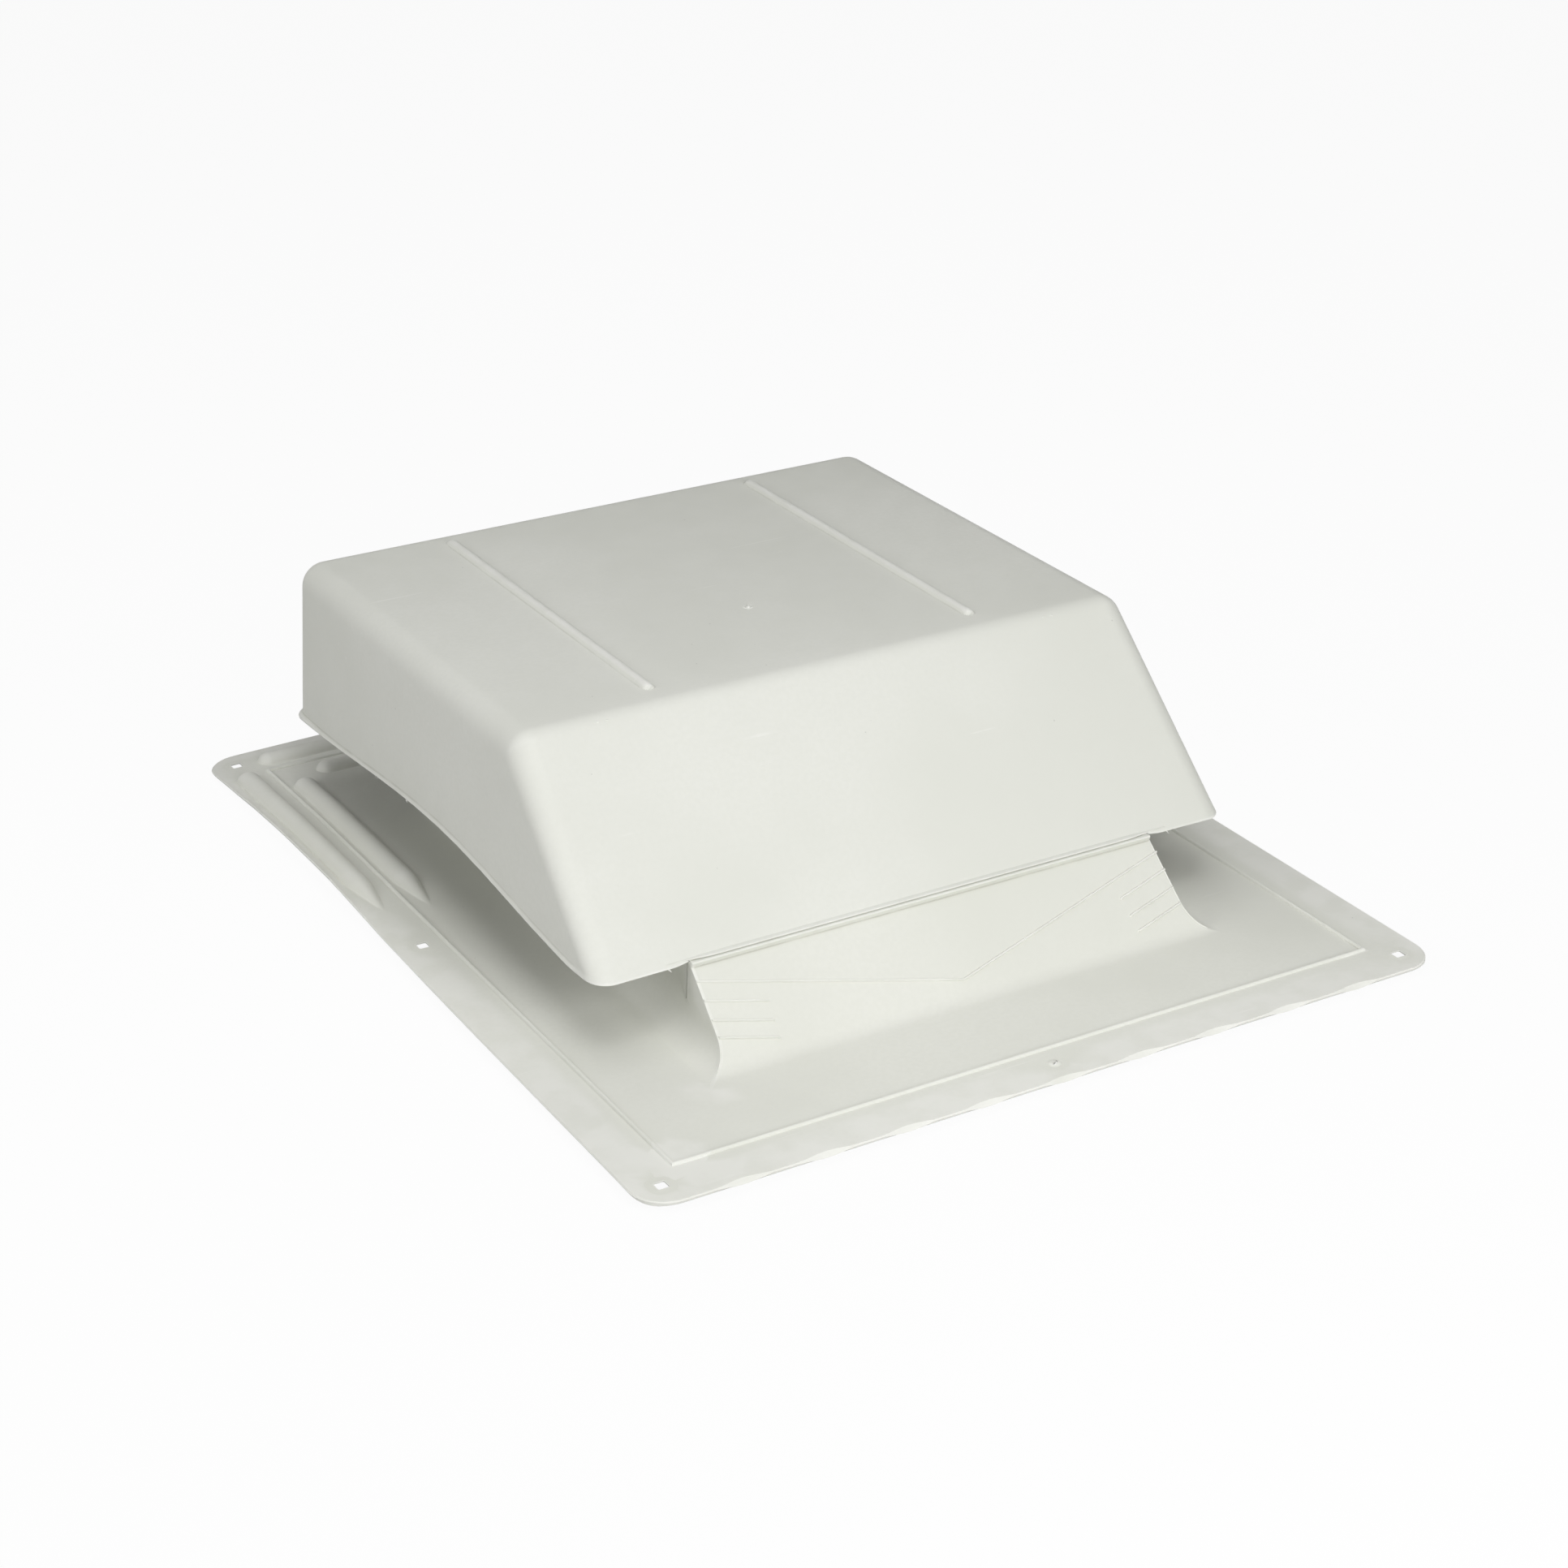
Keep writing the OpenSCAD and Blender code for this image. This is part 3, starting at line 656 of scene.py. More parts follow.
# The hole in the middle of the front is swollen and half closed by flash, with a torn slot left.
torn_slot = [(-1.5, -0.9), (-0.7, -1.3), (0.1, -0.5), (0.9, -0.2), (1.5, 0.7), (1.3, 1.5)]
torn_slot += [(0.4, 1.4), (0.5, 0.5), (-0.4, 0.2), (-1.3, -0.2)]
torn_slot = 1.2 * np.array(torn_slot) + np.array([0.3, flash_y])
score(torn_slot, closed=True)
for swelling in (2.2, 2.7, 3.4):
    turns = np.linspace(0, 2 * math.pi, 20, endpoint=False)
    ring = np.column_stack([swelling * np.cos(turns), swelling * np.sin(turns) + flash_y])
    score(ring, closed=True)
score(throat_loop(throat_rows[0])[:, :2], closed=True)
half, front, rear, z = throat_rows[0]
score(throat_loop((half + 0.5, front - 0.5, rear + 0.5, z))[:, :2], closed=True)
for x in spread(-flange_half_width, flange_half_width, 16)[1:-1]:
    for y in spread(-flange_half_length, flange_half_length, 16)[1:-1]:
        sheet_points.append(np.array([x, y]))

flat_points, _, flat_faces, _, _, _ = delaunay_2d_cdt(
    [Vector(p) for p in sheet_points], sheet_edges, [], 0, 1e-4
)
flat_points = np.array([(p.x, p.y) for p in flat_points])


def edge_distance(x, y):
    """How far a plan point lies inside the rounded outline of the flange."""
    past_x = np.maximum(np.abs(x) - flange_half_width + flange_corner, 0)
    past_y = np.maximum(np.abs(y) - flange_half_length + flange_corner, 0)
    straight = np.minimum(flange_half_width - np.abs(x), flange_half_length - np.abs(y))
    round_corner = flange_corner - np.hypot(past_x, past_y)
    return np.where((past_x > 0) & (past_y > 0), round_corner, straight)


def in_flange(corners):
    """True where a plan triangle is part of the flange sheet."""
    x, y = corners.mean(axis=0)
    half, front, rear, _ = throat_rows[0]
    if abs(x) < half and front < y < rear:
        return False
    for i, j in nail_places:
        if i and np.all(np.abs(corners - np.array([i * nail_x, j * nail_y])) < nail_half + 1e-3):
            return False
    crossings = 0
    for (ax, ay), (bx, by) in zip(torn_slot, np.roll(torn_slot, 1, axis=0)):
        if (ay > y) != (by > y) and x < ax + (y - ay) * (bx - ax) / (by - ay):
            crossings += 1
    return crossings % 2 == 0 and edge_distance(x, y) > 0


flashing_form = bmesh.new()
x, y = flat_points.T
trimmed = edge_round + np.where(y < 0.01 - flange_half_length, trim_drop * trim_wave(x), 0)
top_z = flange_top(x, y) - np.where(edge_distance(x, y) < 0.1, trimmed, 0)
top_points = warp(np.column_stack([x, y, top_z]))
drawn_x = x - np.sign(x) * edge_lean * covered(np.abs(x) - flange_half_width + lean_width, lean_width)
drawn_y = y - np.sign(y) * edge_lean * covered(np.abs(y) - flange_half_length + lean_width, lean_width)
under_points = warp(np.column_stack([drawn_x, drawn_y, flange_under(x, y)]))
top_verts = [flashing_form.verts.new(p) for p in top_points]
under_verts = [flashing_form.verts.new(p) for p in under_points]
for face in flat_faces:
    if in_flange(flat_points[list(face)]):
        flashing_form.faces.new([top_verts[i] for i in face])
        flashing_form.faces.new([under_verts[i] for i in reversed(face)])
pair = dict(zip(top_verts, under_verts))
opening_half, opening_front, opening_rear, _ = throat_rows[0]
for edge in [e for e in flashing_form.edges if len(e.link_faces) == 1 and e.verts[0] in pair]:
    a, b = edge.verts
    middle = (a.co + b.co) / 2
    beside = abs(middle.x) < opening_half + 1
    if not (beside and opening_front - 1 < middle.y < opening_rear + 1):
        flashing_form.faces.new((a, b, pair[b], pair[a]))
loose = [v for v in flashing_form.verts if not v.link_faces]
bmesh.ops.delete(flashing_form, geom=loose, context="VERTS")


def add_rings(form, rings, closed=True):
    """Joins rings of equal count by quads and returns their corner points."""
    made = [[form.verts.new(p) for p in ring] for ring in rings]
    for low, high in zip(made, made[1:]):
        for i in range(len(low) if closed else len(low) - 1):
            j = (i + 1) % len(low)
            form.faces.new((low[i], low[j], high[j], high[i]))
    return made


outer = add_rings(flashing_form, [throat_loop(row) for row in throat_rows])
inner = add_rings(flashing_form, [throat_loop(row) for row in inner_rows])
# The grooved rim runs round the sides and the rear, the lap wall closes the front.
front_end = 2 * (corner_segments + 1) + front_count
rim_loops = [throat_loop(row) for row in groove_rows]
u_shape = [*range(front_end, len(rim_loops[0])), 0]
rim_verts = add_rings(flashing_form, [[ring[i] for i in u_shape] for ring in rim_loops], closed=False)
outer_u = [outer[-1][i] for i in u_shape]
inner_u = [inner[0][i] for i in u_shape]
for a, b in ((outer_u, rim_verts[0]), (rim_verts[-1], inner_u)):
    for i in range(len(a) - 1):
        flashing_form.faces.new((a[i], a[i + 1], b[i + 1], b[i]))
for i in range(front_end):
    flashing_form.faces.new((outer[-1][i], outer[-1][i + 1], inner[0][i + 1], inner[0][i]))
for end in (0, -1):
    flashing_form.faces.new([row[end] for row in rim_verts])
    flashing_form.faces.new((outer_u[end], rim_verts[0][end], rim_verts[-1][end], inner_u[end]))


def close_seams(form):
    """Joins the edges that meet and turns all faces outwards."""
    bmesh.ops.remove_doubles(form, verts=form.verts, dist=0.005)
    bmesh.ops.dissolve_degenerate(form, edges=form.edges, dist=0.001)
    bmesh.ops.recalc_face_normals(form, faces=form.faces)


def add_block(form, low, high, ease):
    """A block between two corners, with its edges eased."""
    low = np.array(low, float)
    high = np.array(high, float)
    made = bmesh.ops.create_cube(form, size=1)["verts"]
    for vert in made:
        vert.co = Vector((low + high) / 2) + Vector(np.array(vert.co) * (high - low))
    if ease:
        edges = list(dict.fromkeys(edge for vert in made for edge in vert.link_edges))
        bmesh.ops.bevel(form, geom=edges, offset=ease, segments=2, profile=0.5, affect="EDGES")


def cut_away(form, blocks):
    """Cuts blocks, given by two corners, out of a closed form."""
    close_seams(form)
    cutter_form = bmesh.new()
    for low, high in blocks:
        add_block(cutter_form, low, high, 0)
    solids = []
    for part in (form, cutter_form):
        solid_mesh = bpy.data.meshes.new("solid")
        part.to_mesh(solid_mesh)
        solids.append(bpy.data.objects.new("solid", solid_mesh))
        scene.collection.objects.link(solids[-1])
    cutter_form.free()
    cut = solids[0].modifiers.new("cut", "BOOLEAN")
    cut.operation = "DIFFERENCE"
    cut.solver = "MANIFOLD"
    cut.object = solids[1]
    depsgraph = bpy.context.evaluated_depsgraph_get()
    result = bpy.data.meshes.new_from_object(solids[0].evaluated_get(depsgraph))
    form.clear()
    form.from_mesh(result)
    meshes = [solid.data for solid in solids]
    for solid in solids:
        bpy.data.objects.remove(solid)
    for spent in (*meshes, result):
        bpy.data.meshes.remove(spent)


# A fine upright relief slit in each side wall, just behind the ramp.
slit_y = -128.7
slit_width = 0.8
slit_foot = 18.1
slit_top = ledge_z + 0.2
slit_reach = 2.5
slit_blocks = []
for side in (-1, 1):
    wall_x = side * (throat_half - 1)
    near = (wall_x - slit_reach, slit_y - slit_width / 2, slit_foot)
    slit_blocks.append((near, (wall_x + slit_reach, slit_y + slit_width / 2, slit_top)))
cut_away(flashing_form, slit_blocks)


def add_sweep(form, stations):
    """A closed bar through sections of equal count, with both ends capped."""
    made = add_rings(form, stations)
    form.faces.new(made[0][::-1])
    form.faces.new(made[-1])


# Thin ribs on the ramp: one long rib bent in the middle and three short ones at each side, which
# lead water off the seam. They end at the side creases.
rib_half_width = 0.62
rib_height = 0.85
rib_start = 5
rib_fall = 0.268
# Distance of each short rib down the ramp from the long one, and its length.
short_ribs = [(9.1, 28), (18.3, 27), (26.4, 26.3)]
rib_section = [(-1, -0.4), (-1, 0.35), (-0.4, 1), (0.4, 1), (1, 0.35), (1, -0.4)]


def ramp_section(x, shift, share=1):
    """Rib section at x, moved down the ramp, at a share of its full size."""
    down = rib_start + rib_fall * (throat_half - abs(x)) + shift
    rise = math.sin(ramp_angle)
    run = math.cos(ramp_angle)
    section = []
    for along, out in rib_section:
        along = down + share * rib_half_width * along
        out = rib_height * (out if out < 0 else share * out)
        y = ramp_top[0] - run * along - rise * out
        z = ramp_top[1] - rise * along + run * out
        section.append((x, y, z))
    return section


rib_reach = throat_half - 0.2
add_sweep(flashing_form, [ramp_section(x, 0) for x in spread(-rib_reach, rib_reach, 10)])
for side in (-1, 1):
    for shift, length in short_ribs:
        stations = []
        for x in spread(rib_reach, throat_half - length, 7):
            stations.append(ramp_section(side * x, shift))
        for past, share in ((0.4, 0.8), (0.7, 0.4), (0.8, 0.1)):
            stations.append(ramp_section(side * (throat_half - length - past), shift, share))
        add_sweep(flashing_form, stations)

# A fine bead runs down both side creases of the ramp.
crease_radius = 0.3
crease_sink = 0.12
crease_first_row = 5
crease_turns = np.linspace(0, 2 * math.pi, 8, endpoint=False)
for side in (-1, 1):
    stations = []
    for half, front, _, z in throat_rows[crease_first_row:ramp_row_count]:
        x = side * (half - crease_sink)
        y = front + crease_sink
        ring = [(x + crease_radius * math.cos(t), y, z + crease_radius * math.sin(t)) for t in crease_turns]
        stations.append(ring)
    add_sweep(flashing_form, stations)

# Screw posts: four tubes inside the throat, each on a web to the side wall. The screws come up
# through them from below.
post_x = 104
post_ys = (-70, 96)
post_radius = 6
post_foot = 6
post_top = 60
post_bore = 4.3
post_seat = 55
post_hole = 2.3
post_ease = 0.5
hole_ease = 0.3
bore_ease = 0.4
web_half = 1.5
web_top = 49


def turned_rings(profile, x, y, segments):
    turns = np.linspace(0, 2 * math.pi, segments, endpoint=False)
    return [[(x + r * math.cos(t), y + r * math.sin(t), z) for t in turns] for r, z in profile]


post_profile = [
    (post_radius, post_foot + post_ease),
    (post_radius, post_top - post_ease),
    (post_radius - post_ease, post_top),
    (post_hole + hole_ease, post_top),
    (post_hole, post_top - hole_ease),
    (post_hole, post_seat),
    (post_bore, post_seat),
    (post_bore, post_foot + bore_ease),
    (post_bore + bore_ease, post_foot),
    (post_radius - post_ease, post_foot),
    (post_radius, post_foot + post_ease),
]
for side in (-1, 1):
    for y in post_ys:
        add_rings(flashing_form, turned_rings(post_profile, side * post_x, y, 32))
for side in (-1, 1):
    for y in post_ys:
        near = side * (post_x + post_bore + 0.6)
        far = side * (bore + 1)
        low_x, high_x = sorted((near, far))
        add_block(flashing_form, (low_x, y - web_half, post_foot), (high_x, y + web_half, web_top), 0.3)


mm = 0.001


def piece(name, form, material, sharp=35):
    """Turns a form in millimetres into a smooth-shaded object on the vent's body."""
    close_seams(form)
    bmesh.ops.scale(form, vec=(mm, mm, mm), verts=form.verts)
    mesh = bpy.data.meshes.new(name)
    form.to_mesh(mesh)
    form.free()
    mesh.shade_smooth()
    mesh.set_sharp_from_angle(angle=math.radians(sharp))
    mesh.materials.append(material)
    made = bpy.data.objects.new(name, mesh)
    scene.collection.objects.link(made)
    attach(made, "root")
    return made


flashing = piece("flashing", flashing_form, base_plastic)
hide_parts("base_flashing")

# Insect screens: three slatted panels of grey polypropylene that stand in the grooved rim of the
# throat and between the guides under the hood top.
screen_plastic = moulded_plastic(
    "screen_plastic",
    tone=(0.62, 0.63, 0.585),
    dull_tone=(0.56, 0.57, 0.525),
    # The edge tone is painted highlight and wear; the crease tone is painted shade and dirt.
    wear_and_highlight_tone=(0.72, 0.72, 0.68),
    crease_dirt_and_shade_tone=(0.36, 0.36, 0.32),
    speck_tone=(0.1, 0.09, 0.07),
)
for screen in ("left_screen", "right_screen", "rear_screen"):
    screen_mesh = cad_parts[screen].data
    screen_mesh.materials.clear()
    screen_mesh.materials.append(screen_plastic)

# Hood: a slant-back shell moulded in one piece, with rounded edges, arched skirts that end in a
# turned-out hem, a thin lip over the ramp and two ribs on top. Four screws from below hold it.
hood_top = 118.5
hood_base = 36.9
hood_wall = 2.2
edge_radius = 12.5
corner_radius = 10.5
top_half_width = 160.75
base_half_width = 163.5
top_front = 55.5
top_rear = 197
base_front = 130.3
base_rear = 202
arch_rise = 10.1
arch_front = 314
arch_rear = 355
arch_middle = 30
hem_fade = 26
rear_hem_start = 150
rear_hem_fade = 45
edge_drop = 1.3
drop_start = 112
drop_fade = 16
corner_drop = 0.4
corner_start = 148
corner_fade = 14
top_rib_x = 84.5
top_rib_ends = (-31, 176.5)
top_rib_radius = 3
top_rib_sink = 1
top_rib_foot = 0.8

hood_plastic = moulded_plastic(
    "hood_plastic",
    tone=(0.772, 0.778, 0.725),
    dull_tone=(0.73, 0.738, 0.68),
    # The edge tone is painted highlight and wear; the crease tone is painted shade and dirt.
    wear_and_highlight_tone=(0.86, 0.86, 0.825),
    crease_dirt_and_shade_tone=(0.54, 0.54, 0.48),
    speck_tone=(0.09, 0.08, 0.065),
)

edge_height = hood_top - edge_radius
front_run = base_front - top_front + edge_radius
front_rise = edge_height - hood_base
front_slope = math.atan2(front_rise, front_run)
front_slope += math.asin(edge_radius / math.hypot(front_run, front_rise))
# The form is drawn over four balls at the top corners and four discs well below the hem.
disc_drop = 14
disc_height = hood_base - disc_drop
ball_x = top_half_width - edge_radius
ball_front = top_front - edge_radius
ball_rear = top_rear - edge_radius
disc_x = base_half_width - corner_radius
disc_x += disc_drop * (base_half_width - top_half_width) / front_rise
disc_front = base_front + disc_drop / math.tan(front_slope) - corner_radius
disc_rear = base_rear + disc_drop * (base_rear - top_rear) / front_rise - corner_radius


def ease(share):
    """Eases a share in and out between 0 and 1."""
    share = np.clip(share, 0, 1)
    return share**2 * (3 - 2 * share)


def hem_edge(x, y):
    """Lower edge: an arch along the sides, and a little higher at the front, over the ledge."""
    length = np.where(y < arch_middle, arch_front, arch_rear)
    arch = np.cos(math.pi * np.clip((y - arch_middle) / length, -0.5, 0.5)) ** 2
    off_ledge = np.where(y < 0, ease((np.abs(x) - drop_start) / drop_fade), 1)
    drop = edge_drop * off_ledge + corner_drop * ease((np.abs(x) - corner_start) / corner_fade)
    return hood_base + arch_rise * arch - drop


ball_turns = np.radians(np.linspace(-20, 90, 661))


def hood_corner(height, turn, front, grow):
    """Place on a rounded corner where the plan outline faces `turn` away from the side."""
    radius = edge_radius + grow[:, None]
    height = np.minimum(height[:, None], edge_height + radius - 1e-9)
    level = edge_height + radius * np.sin(ball_turns)[None, :]
    level = np.maximum(level, height)
    ball_r = np.sqrt(np.maximum(radius**2 - (level - edge_height) ** 2, 0))
    share = (level - height) / (level - disc_height)
    slope_shift = grow[:, None] * (1 / math.sin(front_slope) - 1)
    ball_y = np.where(front[:, None], ball_front, ball_rear)
    disc_y = np.where(front[:, None], disc_front + slope_shift, disc_rear)
    middle_x = (1 - share) * ball_x + share * disc_x
    middle_y = (1 - share) * ball_y + share * disc_y
    round_r = (1 - share) * ball_r + share * (corner_radius + grow[:, None])
    side = np.cos(turn)[:, None]
    end = np.sin(turn)[:, None]
    best = np.argmax(middle_x * side + middle_y * end + round_r, axis=1)
    pick = np.arange(len(best)), best
    x = middle_x[pick] + round_r[pick] * side[:, 0]
    y = middle_y[pick] + round_r[pick] * end[:, 0]
    return x, np.where(front, -y, y)


def lines_between(low, high, coarse, dense):
    """Grid lines at an even spacing, with the dense offsets added about given places."""
    count = max(2, round((high - low) / coarse) + 1)
    places = [*np.linspace(low, high, count)[1:-1]]
    for middle, offsets in dense:
        near = [p for p in places if min(offsets) + middle - 2 < p < max(offsets) + middle + 2]
        places = [p for p in places if p not in near] + [middle + o for o in offsets]
    return np.array(sorted(p for p in places if low < p < high))


rib_offsets = [-6, -4.6, -3.8, -3.2, -2.7, -2.1, -1.2, 0, 1.2, 2.1, 2.7, 3.2, 3.8, 4.6, 6]
rib_end_offsets = [*rib_offsets[:8], 3]
lip_offsets = [1.5 * i for i in range(-4, 5)]
lip_run_out = throat_half - 0.5
hood_lines_x = lines_between(
    -ball_x,
    ball_x,
    18,
    [
        (-top_rib_x, rib_offsets),
        (top_rib_x, rib_offsets),
        (-lip_run_out, lip_offsets),
        (lip_run_out, lip_offsets),
    ],
)
hood_lines_y = lines_between(
    -ball_front,
    ball_rear,
    18,
    [(top_rib_ends[0], rib_end_offsets), (top_rib_ends[1], [-o for o in rib_end_offsets])],
)
corner_turns = np.radians(np.linspace(0, 90, 15))
share_x = (hood_lines_x + ball_x) / (2 * ball_x)
share_y = (hood_lines_y + ball_front) / (ball_front + ball_rear)

# Columns run round the hood. On a wall they carry a share of its length, on a corner a turn.
column_wall = []
column_share = []
for wall, shares, turns in (
    ("front", share_x, corner_turns[::-1]),
    ("right", share_y, corner_turns),
    ("rear", share_x[::-1], corner_turns[::-1]),
    ("left", share_y[::-1], corner_turns),
):
    column_wall += [wall] * len(shares) + [wall + "_corner"] * len(turns)
    column_share += [*shares, *turns]
column_wall = np.array(column_wall)
column_share = np.array(column_share)
on_corner = np.char.endswith(column_wall, "corner")
on_end = np.isin(column_wall, ["front", "rear"])
on_side = np.isin(column_wall, ["left", "right"])
front_half = np.isin(column_wall, ["front", "front_corner", "left_corner"])
left_half = np.isin(column_wall, ["left", "left_corner", "rear_corner"])
facing = np.where(on_corner, column_share, np.where(on_end, math.pi / 2, 0))
everywhere = np.ones(len(column_wall))


def hood_ring(height, grow):
    """One ring of points round the hood, at a height and an offset given for every column."""
    x, y = hood_corner(height, facing, front_half, grow)
    rear_y = hood_corner(height, facing, everywhere < 0, grow)[1]
    front_y = hood_corner(height, facing, everywhere > 0, grow)[1]
    y = np.where(on_side, front_y + column_share * (rear_y - front_y), y)
    x = np.where(on_end, (2 * column_share - 1) * x, np.where(left_half, -x, x))
    return np.column_stack([x, y, height])


def hood_skirt_ring(above, grow):
    """A ring that keeps a distance above the arched lower edge."""
    height = hood_base + above
    for _ in range(3):
        ring = hood_ring(height, grow)
        height = hem_edge(ring[:, 0], ring[:, 1]) + above
    return hood_ring(height, grow)


# Sections of the plain edge at the front, of the narrow hem along the sides and of the fuller hem
# round the rear, from inside to outside. Each point gives a height above the lower edge and an
# offset from the outer face.
edge_inside = [(0.7, -hood_wall), (0.2, -2.05), (0, -1.6)]
plain_edge = [*edge_inside, (0, -0.7), (0.08, -0.35), (0.3, -0.1), (0.7, 0), (1.2, 0), (1.8, 0)]
plain_edge += [(2.4, 0), (2.7, 0), (3.1, 0)]
grooved_edge = [*edge_inside, (0, 0), (0, 0.85), (0.2, 1.15), (0.5, 1.15), (0.75, 0.9), (1, 0.45)]
grooved_edge += [(1.25, 0), (1.55, -0.2), (2.6, -0.03)]
turned_hem = [*edge_inside, (0, 0.3), (0.1, 1.2), (0.6, 1.8), (1.3, 2), (2, 1.7), (2.5, 1)]
turned_hem += [(2.8, 0.2), (2.9, -0.15), (3.05, -0.03)]
base_ring = hood_skirt_ring(0 * everywhere, 0 * everywhere)
groove_share = ease((base_ring[:, 1] + base_front) / hem_fade)
hem_share = groove_share * ease((base_ring[:, 1] - rear_hem_start) / rear_hem_fade)

hood_rings = []
fillet_turns = np.radians(np.linspace(0, 90, 13))
wall_shares = np.linspace(0, 1, 6)[1:-1]
inside = -hood_wall * everywhere
for turn in fillet_turns[::-1]:
    height = edge_height + (edge_radius - hood_wall) * math.sin(turn)
    hood_rings.append(hood_ring(height * everywhere, inside))
inside_foot = hood_skirt_ring(plain_edge[-1][0] * everywhere, inside)[:, 2]
for share in wall_shares:
    hood_rings.append(hood_ring(edge_height + share * (inside_foot - edge_height), inside))
for points in zip(plain_edge, grooved_edge, turned_hem):
    above, grow = (
        plain + groove_share * (grooved - plain) + hem_share * (turned - grooved)
        for plain, grooved, turned in zip(*points)
    )
    hood_rings.append(hood_skirt_ring(above, grow))
outside_foot = hem_edge(base_ring[:, 0], base_ring[:, 1]) + plain_edge[-1][0]
for share in wall_shares:
    hood_rings.append(hood_ring(outside_foot + share * (edge_height - outside_foot), 0 * everywhere))
for turn in fillet_turns:
    height = edge_height + edge_radius * math.sin(turn)
    hood_rings.append(hood_ring(height * everywhere, 0 * everywhere))


def top_rise(x, y):
    """Height of the two rounded ribs above the flat hood top."""
    past_end = max(top_rib_ends[0] - y, y - top_rib_ends[1], 0)
    off = math.hypot(abs(x) - top_rib_x, past_end)
    if off < top_rib_radius:
        arc = math.sqrt(top_rib_radius**2 - off**2) - top_rib_sink
    else:
        arc = -top_rib_sink - 2 * (off - top_rib_radius)
    return float(smooth_max(arc, 0, top_rib_foot))


def add_grid(form, xs, ys, height):
    """A grid of quads over given lines."""
    rows = [[form.verts.new((x, y, height(x, y))) for x in xs] for y in ys]
    for low, high in zip(rows, rows[1:]):
        for i in range(len(xs) - 1):
            form.faces.new((low[i], low[i + 1], high[i + 1], high[i]))


hood_form = bmesh.new()
add_rings(hood_form, hood_rings)
top_xs = [-ball_x, *hood_lines_x, ball_x]
top_ys = [-ball_front, *hood_lines_y, ball_rear]
ceiling = hood_top - hood_wall
add_grid(hood_form, top_xs, top_ys, lambda x, y: hood_top + top_rise(x, y))
add_grid(hood_form, top_xs, top_ys, lambda x, y: ceiling)
close_seams(hood_form)

# Lip along the foot of the slant face. It laps over the ledge of the flashing, has a round nose
# and a small hollow above, and runs out to nothing past the side walls of the throat.
lip_reach = 131.9
lip_height = 1
lip_full = 106
lip_end = 130
lip_nose = 0.4
lip_hollow = 0.3
lip_root = 3
lip_under = 0.25
lip_middle = 0.5
lip_draw_in = 0.8


def lip_section(x):
    fade = ease((lip_end - abs(x)) / (lip_end - lip_full))
    reach = base_front - lip_draw_in + fade * (lip_reach - base_front + lip_draw_in)
    nose_z = hood_base + lip_middle
    rise = (lip_height - lip_middle) * (0.3 + 0.7 * fade)
    section = [
        (-base_front + lip_root, hood_base + lip_under),
        (-reach + 0.15, hood_base + lip_under),
    ]
    for turn in np.radians(np.linspace(180, 90, 4)):
        section.append((-reach + lip_nose * (1 + math.cos(turn)), nose_z + rise * math.sin(turn)))
    # The hollow leaves the flat of the lip and runs out along the slant face.
    lip_top = nose_z + rise
    face_y = -base_front + (lip_top - hood_base) / math.tan(front_slope) - 0.03
    for share in np.linspace(0, 1, 6):
        back = lip_hollow * (share**2 * math.cos(front_slope) - (1 - share) ** 2)
        section.append((face_y + back, lip_top + lip_hollow * share**2 * math.sin(front_slope)))
    section.append((face_y + 2, lip_top + lip_hollow * 0.5))
    section.append((-base_front + lip_root, lip_top))
    return [(x, y, z) for y, z in section]


lip_xs = np.concatenate([spread(-lip_end, -lip_full, 1.2), spread(-lip_full, lip_full, 12)[1:-1]])
lip_xs = np.concatenate([lip_xs, spread(lip_full, lip_end, 1.2)])
add_sweep(hood_form, [lip_section(x) for x in lip_xs])


def add_whisker(form, root, tip, width):
    """A thin pointed shred of moulding flash."""
    root = Vector(root)
    along = (Vector(tip) - root).normalized()
    across = along.orthogonal().normalized() * width
    other = along.cross(across)
    corners = [form.verts.new(root + c) for c in (across, other * 0.4, -across, -other * 0.4)]
    point = form.verts.new(tip)
    form.faces.new(corners[::-1])
    for i in range(4):
        form.faces.new((corners[i], corners[(i + 1) % 4], point))


# Shreds of flash hang from the parting line where the lip runs out and along the left hem. Each has
# a root, a tip and a width.
for root, tip, width in (
    ((-129.4, -130.8, 36), (-128, -132, 34.2), 0.7),
    ((-139.5, -130.6, 36.1), (-139.9, -131.2, 35), 0.4),
    ((-141, -130.6, 36.1), (-140.6, -131.1, 35.1), 0.35),
    ((129.8, -130.8, 36), (131, -132, 34.2), 0.7),
    ((-164.4, 62, 44.6), (-164.6, 60.5, 43.6), 0.4),
    ((-164.4, 96, 42.2), (-164.6, 97, 41.2), 0.45),
    ((-164.4, 99, 41.9), (-164.6, 98.2, 41), 0.35),
):
    add_whisker(hood_form, root, tip, width)


def add_turned(form, profile, x, y, segments):
    """A turned solid on an upright axis, with flat caps at both ends of its profile."""
    add_sweep(form, turned_rings(profile, x, y, segments))


# Gate mark: the snapped-off sprue on top, a low ring with a torn stub and a fine point.
gate_y = 28.5
gate_profile = [(2.6, -0.3), (2.5, 0.02), (2.2, 0.22), (1.9, 0.24), (1.6, 0.08), (1.3, 0.04)]
gate_profile.append((0.2, 0.04))
stub_profile = [(1, -0.2), (0.95, 0.3), (0.75, 0.55), (0.5, 0.6), (0.1, 0.5)]
add_turned(hood_form, [(r, hood_top + z) for r, z in gate_profile], 0, gate_y, 24)
add_turned(hood_form, [(r, hood_top + z) for r, z in stub_profile], -0.2, gate_y - 0.6, 14)
add_whisker(hood_form, (0.2, gate_y + 0.2, hood_top), (0.3, gate_y + 0.5, hood_top + 2), 0.4)

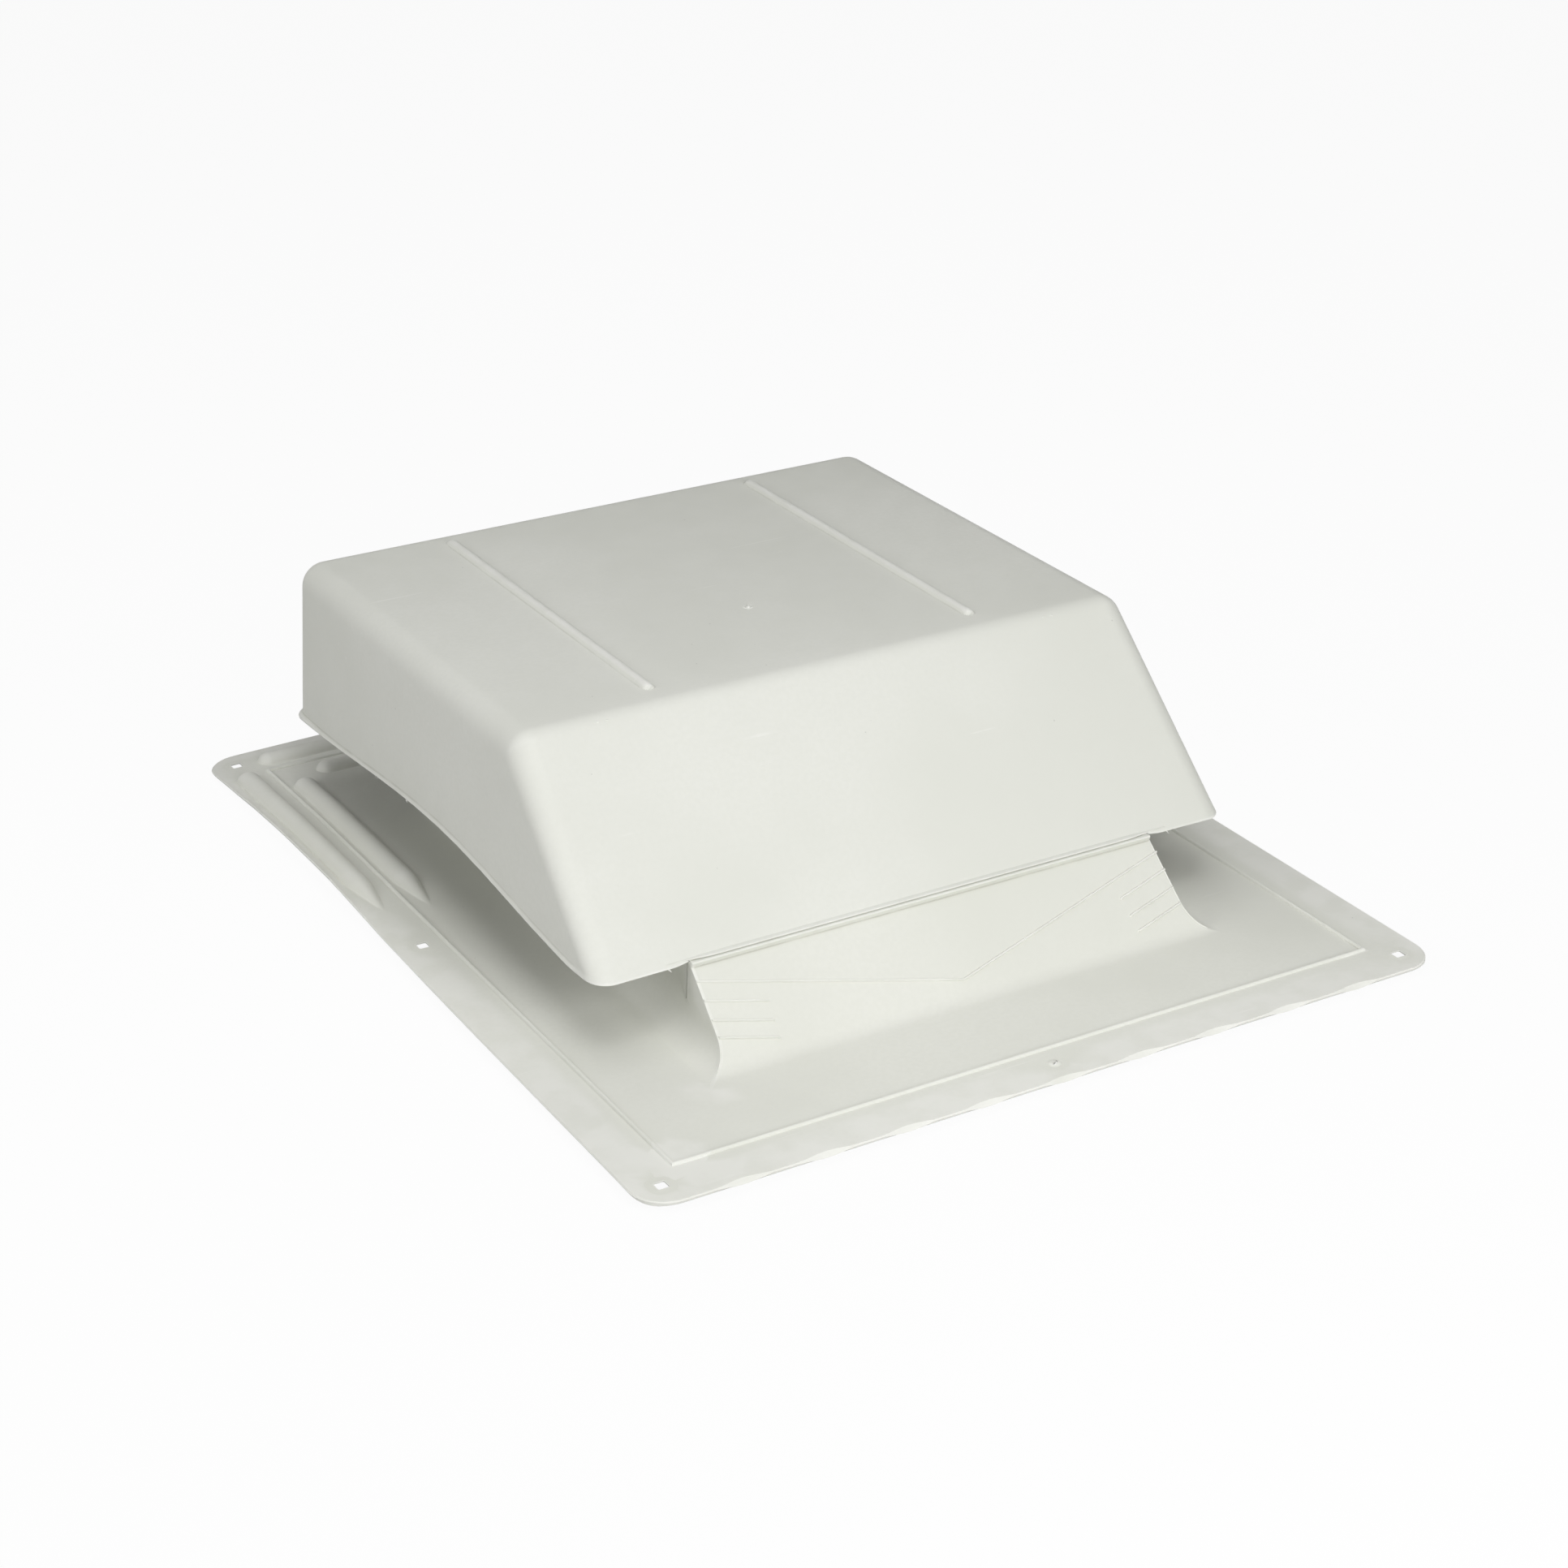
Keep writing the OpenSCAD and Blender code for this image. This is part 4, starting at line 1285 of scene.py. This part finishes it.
# Screw bosses under the top, in line with the posts, and pairs of strips that guide the screens.
boss_depth = 15
boss_ease = 0.4
guide_middle = (groove_outside + groove_inside) / 2
guide_gap = groove_outside - groove_inside
guide_thick = 1.5
guide_drop = 4
guide_front = -50
guide_rear = guide_middle + rear_step

boss_profile = [
    (0.2, post_top + boss_depth),
    (post_hole, post_top + boss_depth),
    (post_hole, post_top + hole_ease),
    (post_hole + hole_ease, post_top),
    (post_radius - boss_ease, post_top),
    (post_radius, post_top + boss_ease),
    (post_radius, ceiling - 2),
    (post_radius + 0.5, ceiling - 0.7),
    (post_radius + 1.6, ceiling + 0.2),
    (0.2, ceiling + 0.6),
]
slant_sink = hood_wall / math.cos(front_slope) - 0.8
for side in (-1, 1):
    for boss_y in post_ys:
        boss_rings = turned_rings(boss_profile, side * post_x, boss_y, 32)
        for ring in boss_rings:
            for i, (x, y, z) in enumerate(ring):
                slant = hood_base + (base_front + y) * math.tan(front_slope) - slant_sink
                ring[i] = (x, y, min(z, slant))
        add_sweep(hood_form, boss_rings)
guide_low = ceiling - guide_drop
guide_high = ceiling + 0.5
strip_in = guide_gap / 2
strip_out = strip_in + guide_thick
guide_ease = 0.25
for low, high in ((-strip_out, -strip_in), (strip_in, strip_out)):
    for side in (-1, 1):
        near, far = sorted((side * (guide_middle + low), side * (guide_middle + high)))
        corner = (far, guide_rear + high, guide_high)
        add_block(hood_form, (near, guide_front, guide_low), corner, guide_ease)
    half = guide_middle + low - 0.4
    corner = (half, guide_rear + high, guide_high)
    add_block(hood_form, (-half, guide_rear + low, guide_low), corner, guide_ease)

hood = piece("hood_shell", hood_form, hood_plastic)
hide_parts("hood")

# Screws: four zinc-plated self-tapping pan-head screws, driven up through the posts into the
# bosses of the hood.
screw_radius = 1.75
thread_radius = 2.15
thread_pitch = 1.8
thread_width = 0.22
thread_start = 0.6
point_length = 3
point_blunt = 0.25
screw_length = 18
head_radius = 4
head_height = 2.8
head_dome = 0.28
recess_depth = 1.6
recess_reach = 2.2
recess_half = 0.45
recess_slope = 0.18


def zinc_plate(name, bright, dull):
    """Bright zinc over steel: cloudy tone, fine brushed grain and uneven gloss."""
    material, nodes, links = new_material(name)
    place = nodes.new("ShaderNodeTexCoord").outputs["Object"]
    shader = add_node(nodes, "ShaderNodeBsdfPrincipled", {"Metallic": 1})
    clouds = noise_texture(nodes, links, place, 380, 4)
    tone = nodes.new("ShaderNodeMix")
    tone.data_type = "RGBA"
    tone.inputs[6].default_value = (*bright, 1)
    tone.inputs[7].default_value = (*dull, 1)
    links.new(clouds, tone.inputs[0])
    links.new(tone.outputs[2], shader.inputs["Base Color"])
    gloss = add_node(nodes, "ShaderNodeMapRange", {"To Min": 0.22, "To Max": 0.5})
    links.new(clouds, gloss.inputs["Value"])
    links.new(gloss.outputs["Result"], shader.inputs["Roughness"])
    grain = add_node(nodes, "ShaderNodeBump", {"Strength": 0.2, "Distance": 0.00005})
    links.new(noise_texture(nodes, links, place, 2600, 2), grain.inputs["Height"])
    links.new(grain.outputs[0], shader.inputs["Normal"])
    links.new(shader.outputs[0], nodes.new("ShaderNodeOutputMaterial").inputs["Surface"])
    return material


def recess_sink(x, y):
    """Depth of the cross recess in the head."""
    x = abs(x)
    y = abs(y)
    arm = min(max(x - recess_reach, y - recess_half), max(y - recess_reach, x - recess_half))
    return recess_depth * min(max(-arm / recess_slope, 0), 1)


def add_screw(form, x, y):
    """One screw, from the middle of its head up to its point."""
    segments = 32
    turns = np.linspace(0, 2 * math.pi, segments, endpoint=False)
    rings = []
    for radius in (0.05, 0.3, 0.42, 0.5, 0.64, 0.9, 1.2, 1.5, 1.8, 2.05, 2.2, 2.4, 2.8, 3.2):
        dome = 1 - head_dome + head_dome * math.sqrt(1 - (radius / head_radius) ** 2)
        ring = []
        for t in turns:
            u = radius * math.cos(t)
            v = radius * math.sin(t)
            ring.append((x + u, y + v, post_seat - head_height * dome + recess_sink(u, v)))
        rings.append(ring)
    head_rim = [(3.6, 2.25), (3.88, 1.7), (head_radius, 1), (head_radius, 0.15), (3.85, 0)]
    rings += turned_rings([(radius, post_seat - drop) for radius, drop in head_rim], x, y, segments)
    for rise in np.linspace(0, screw_length, 61):
        taper = min(1, (screw_length - rise + point_blunt) / point_length)
        ring = []
        for t in turns:
            phase = (rise / thread_pitch - t / (2 * math.pi)) % 1
            crest = max(0, 1 - abs(phase - 0.5) / thread_width) if rise > thread_start else 0
            radius = taper * (screw_radius + crest * (thread_radius - screw_radius))
            ring.append((x + radius * math.cos(t), y + radius * math.sin(t), post_seat + rise))
        rings.append(ring)
    add_sweep(form, rings)


screw_form = bmesh.new()
for side in (-1, 1):
    for y in post_ys:
        add_screw(screw_form, side * post_x, y)
screw_zinc = zinc_plate("screw_zinc", bright=(0.66, 0.67, 0.68), dull=(0.54, 0.55, 0.55))
screws = piece("pan_head_screws", screw_form, screw_zinc)
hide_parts("hood_screws")

low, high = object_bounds()
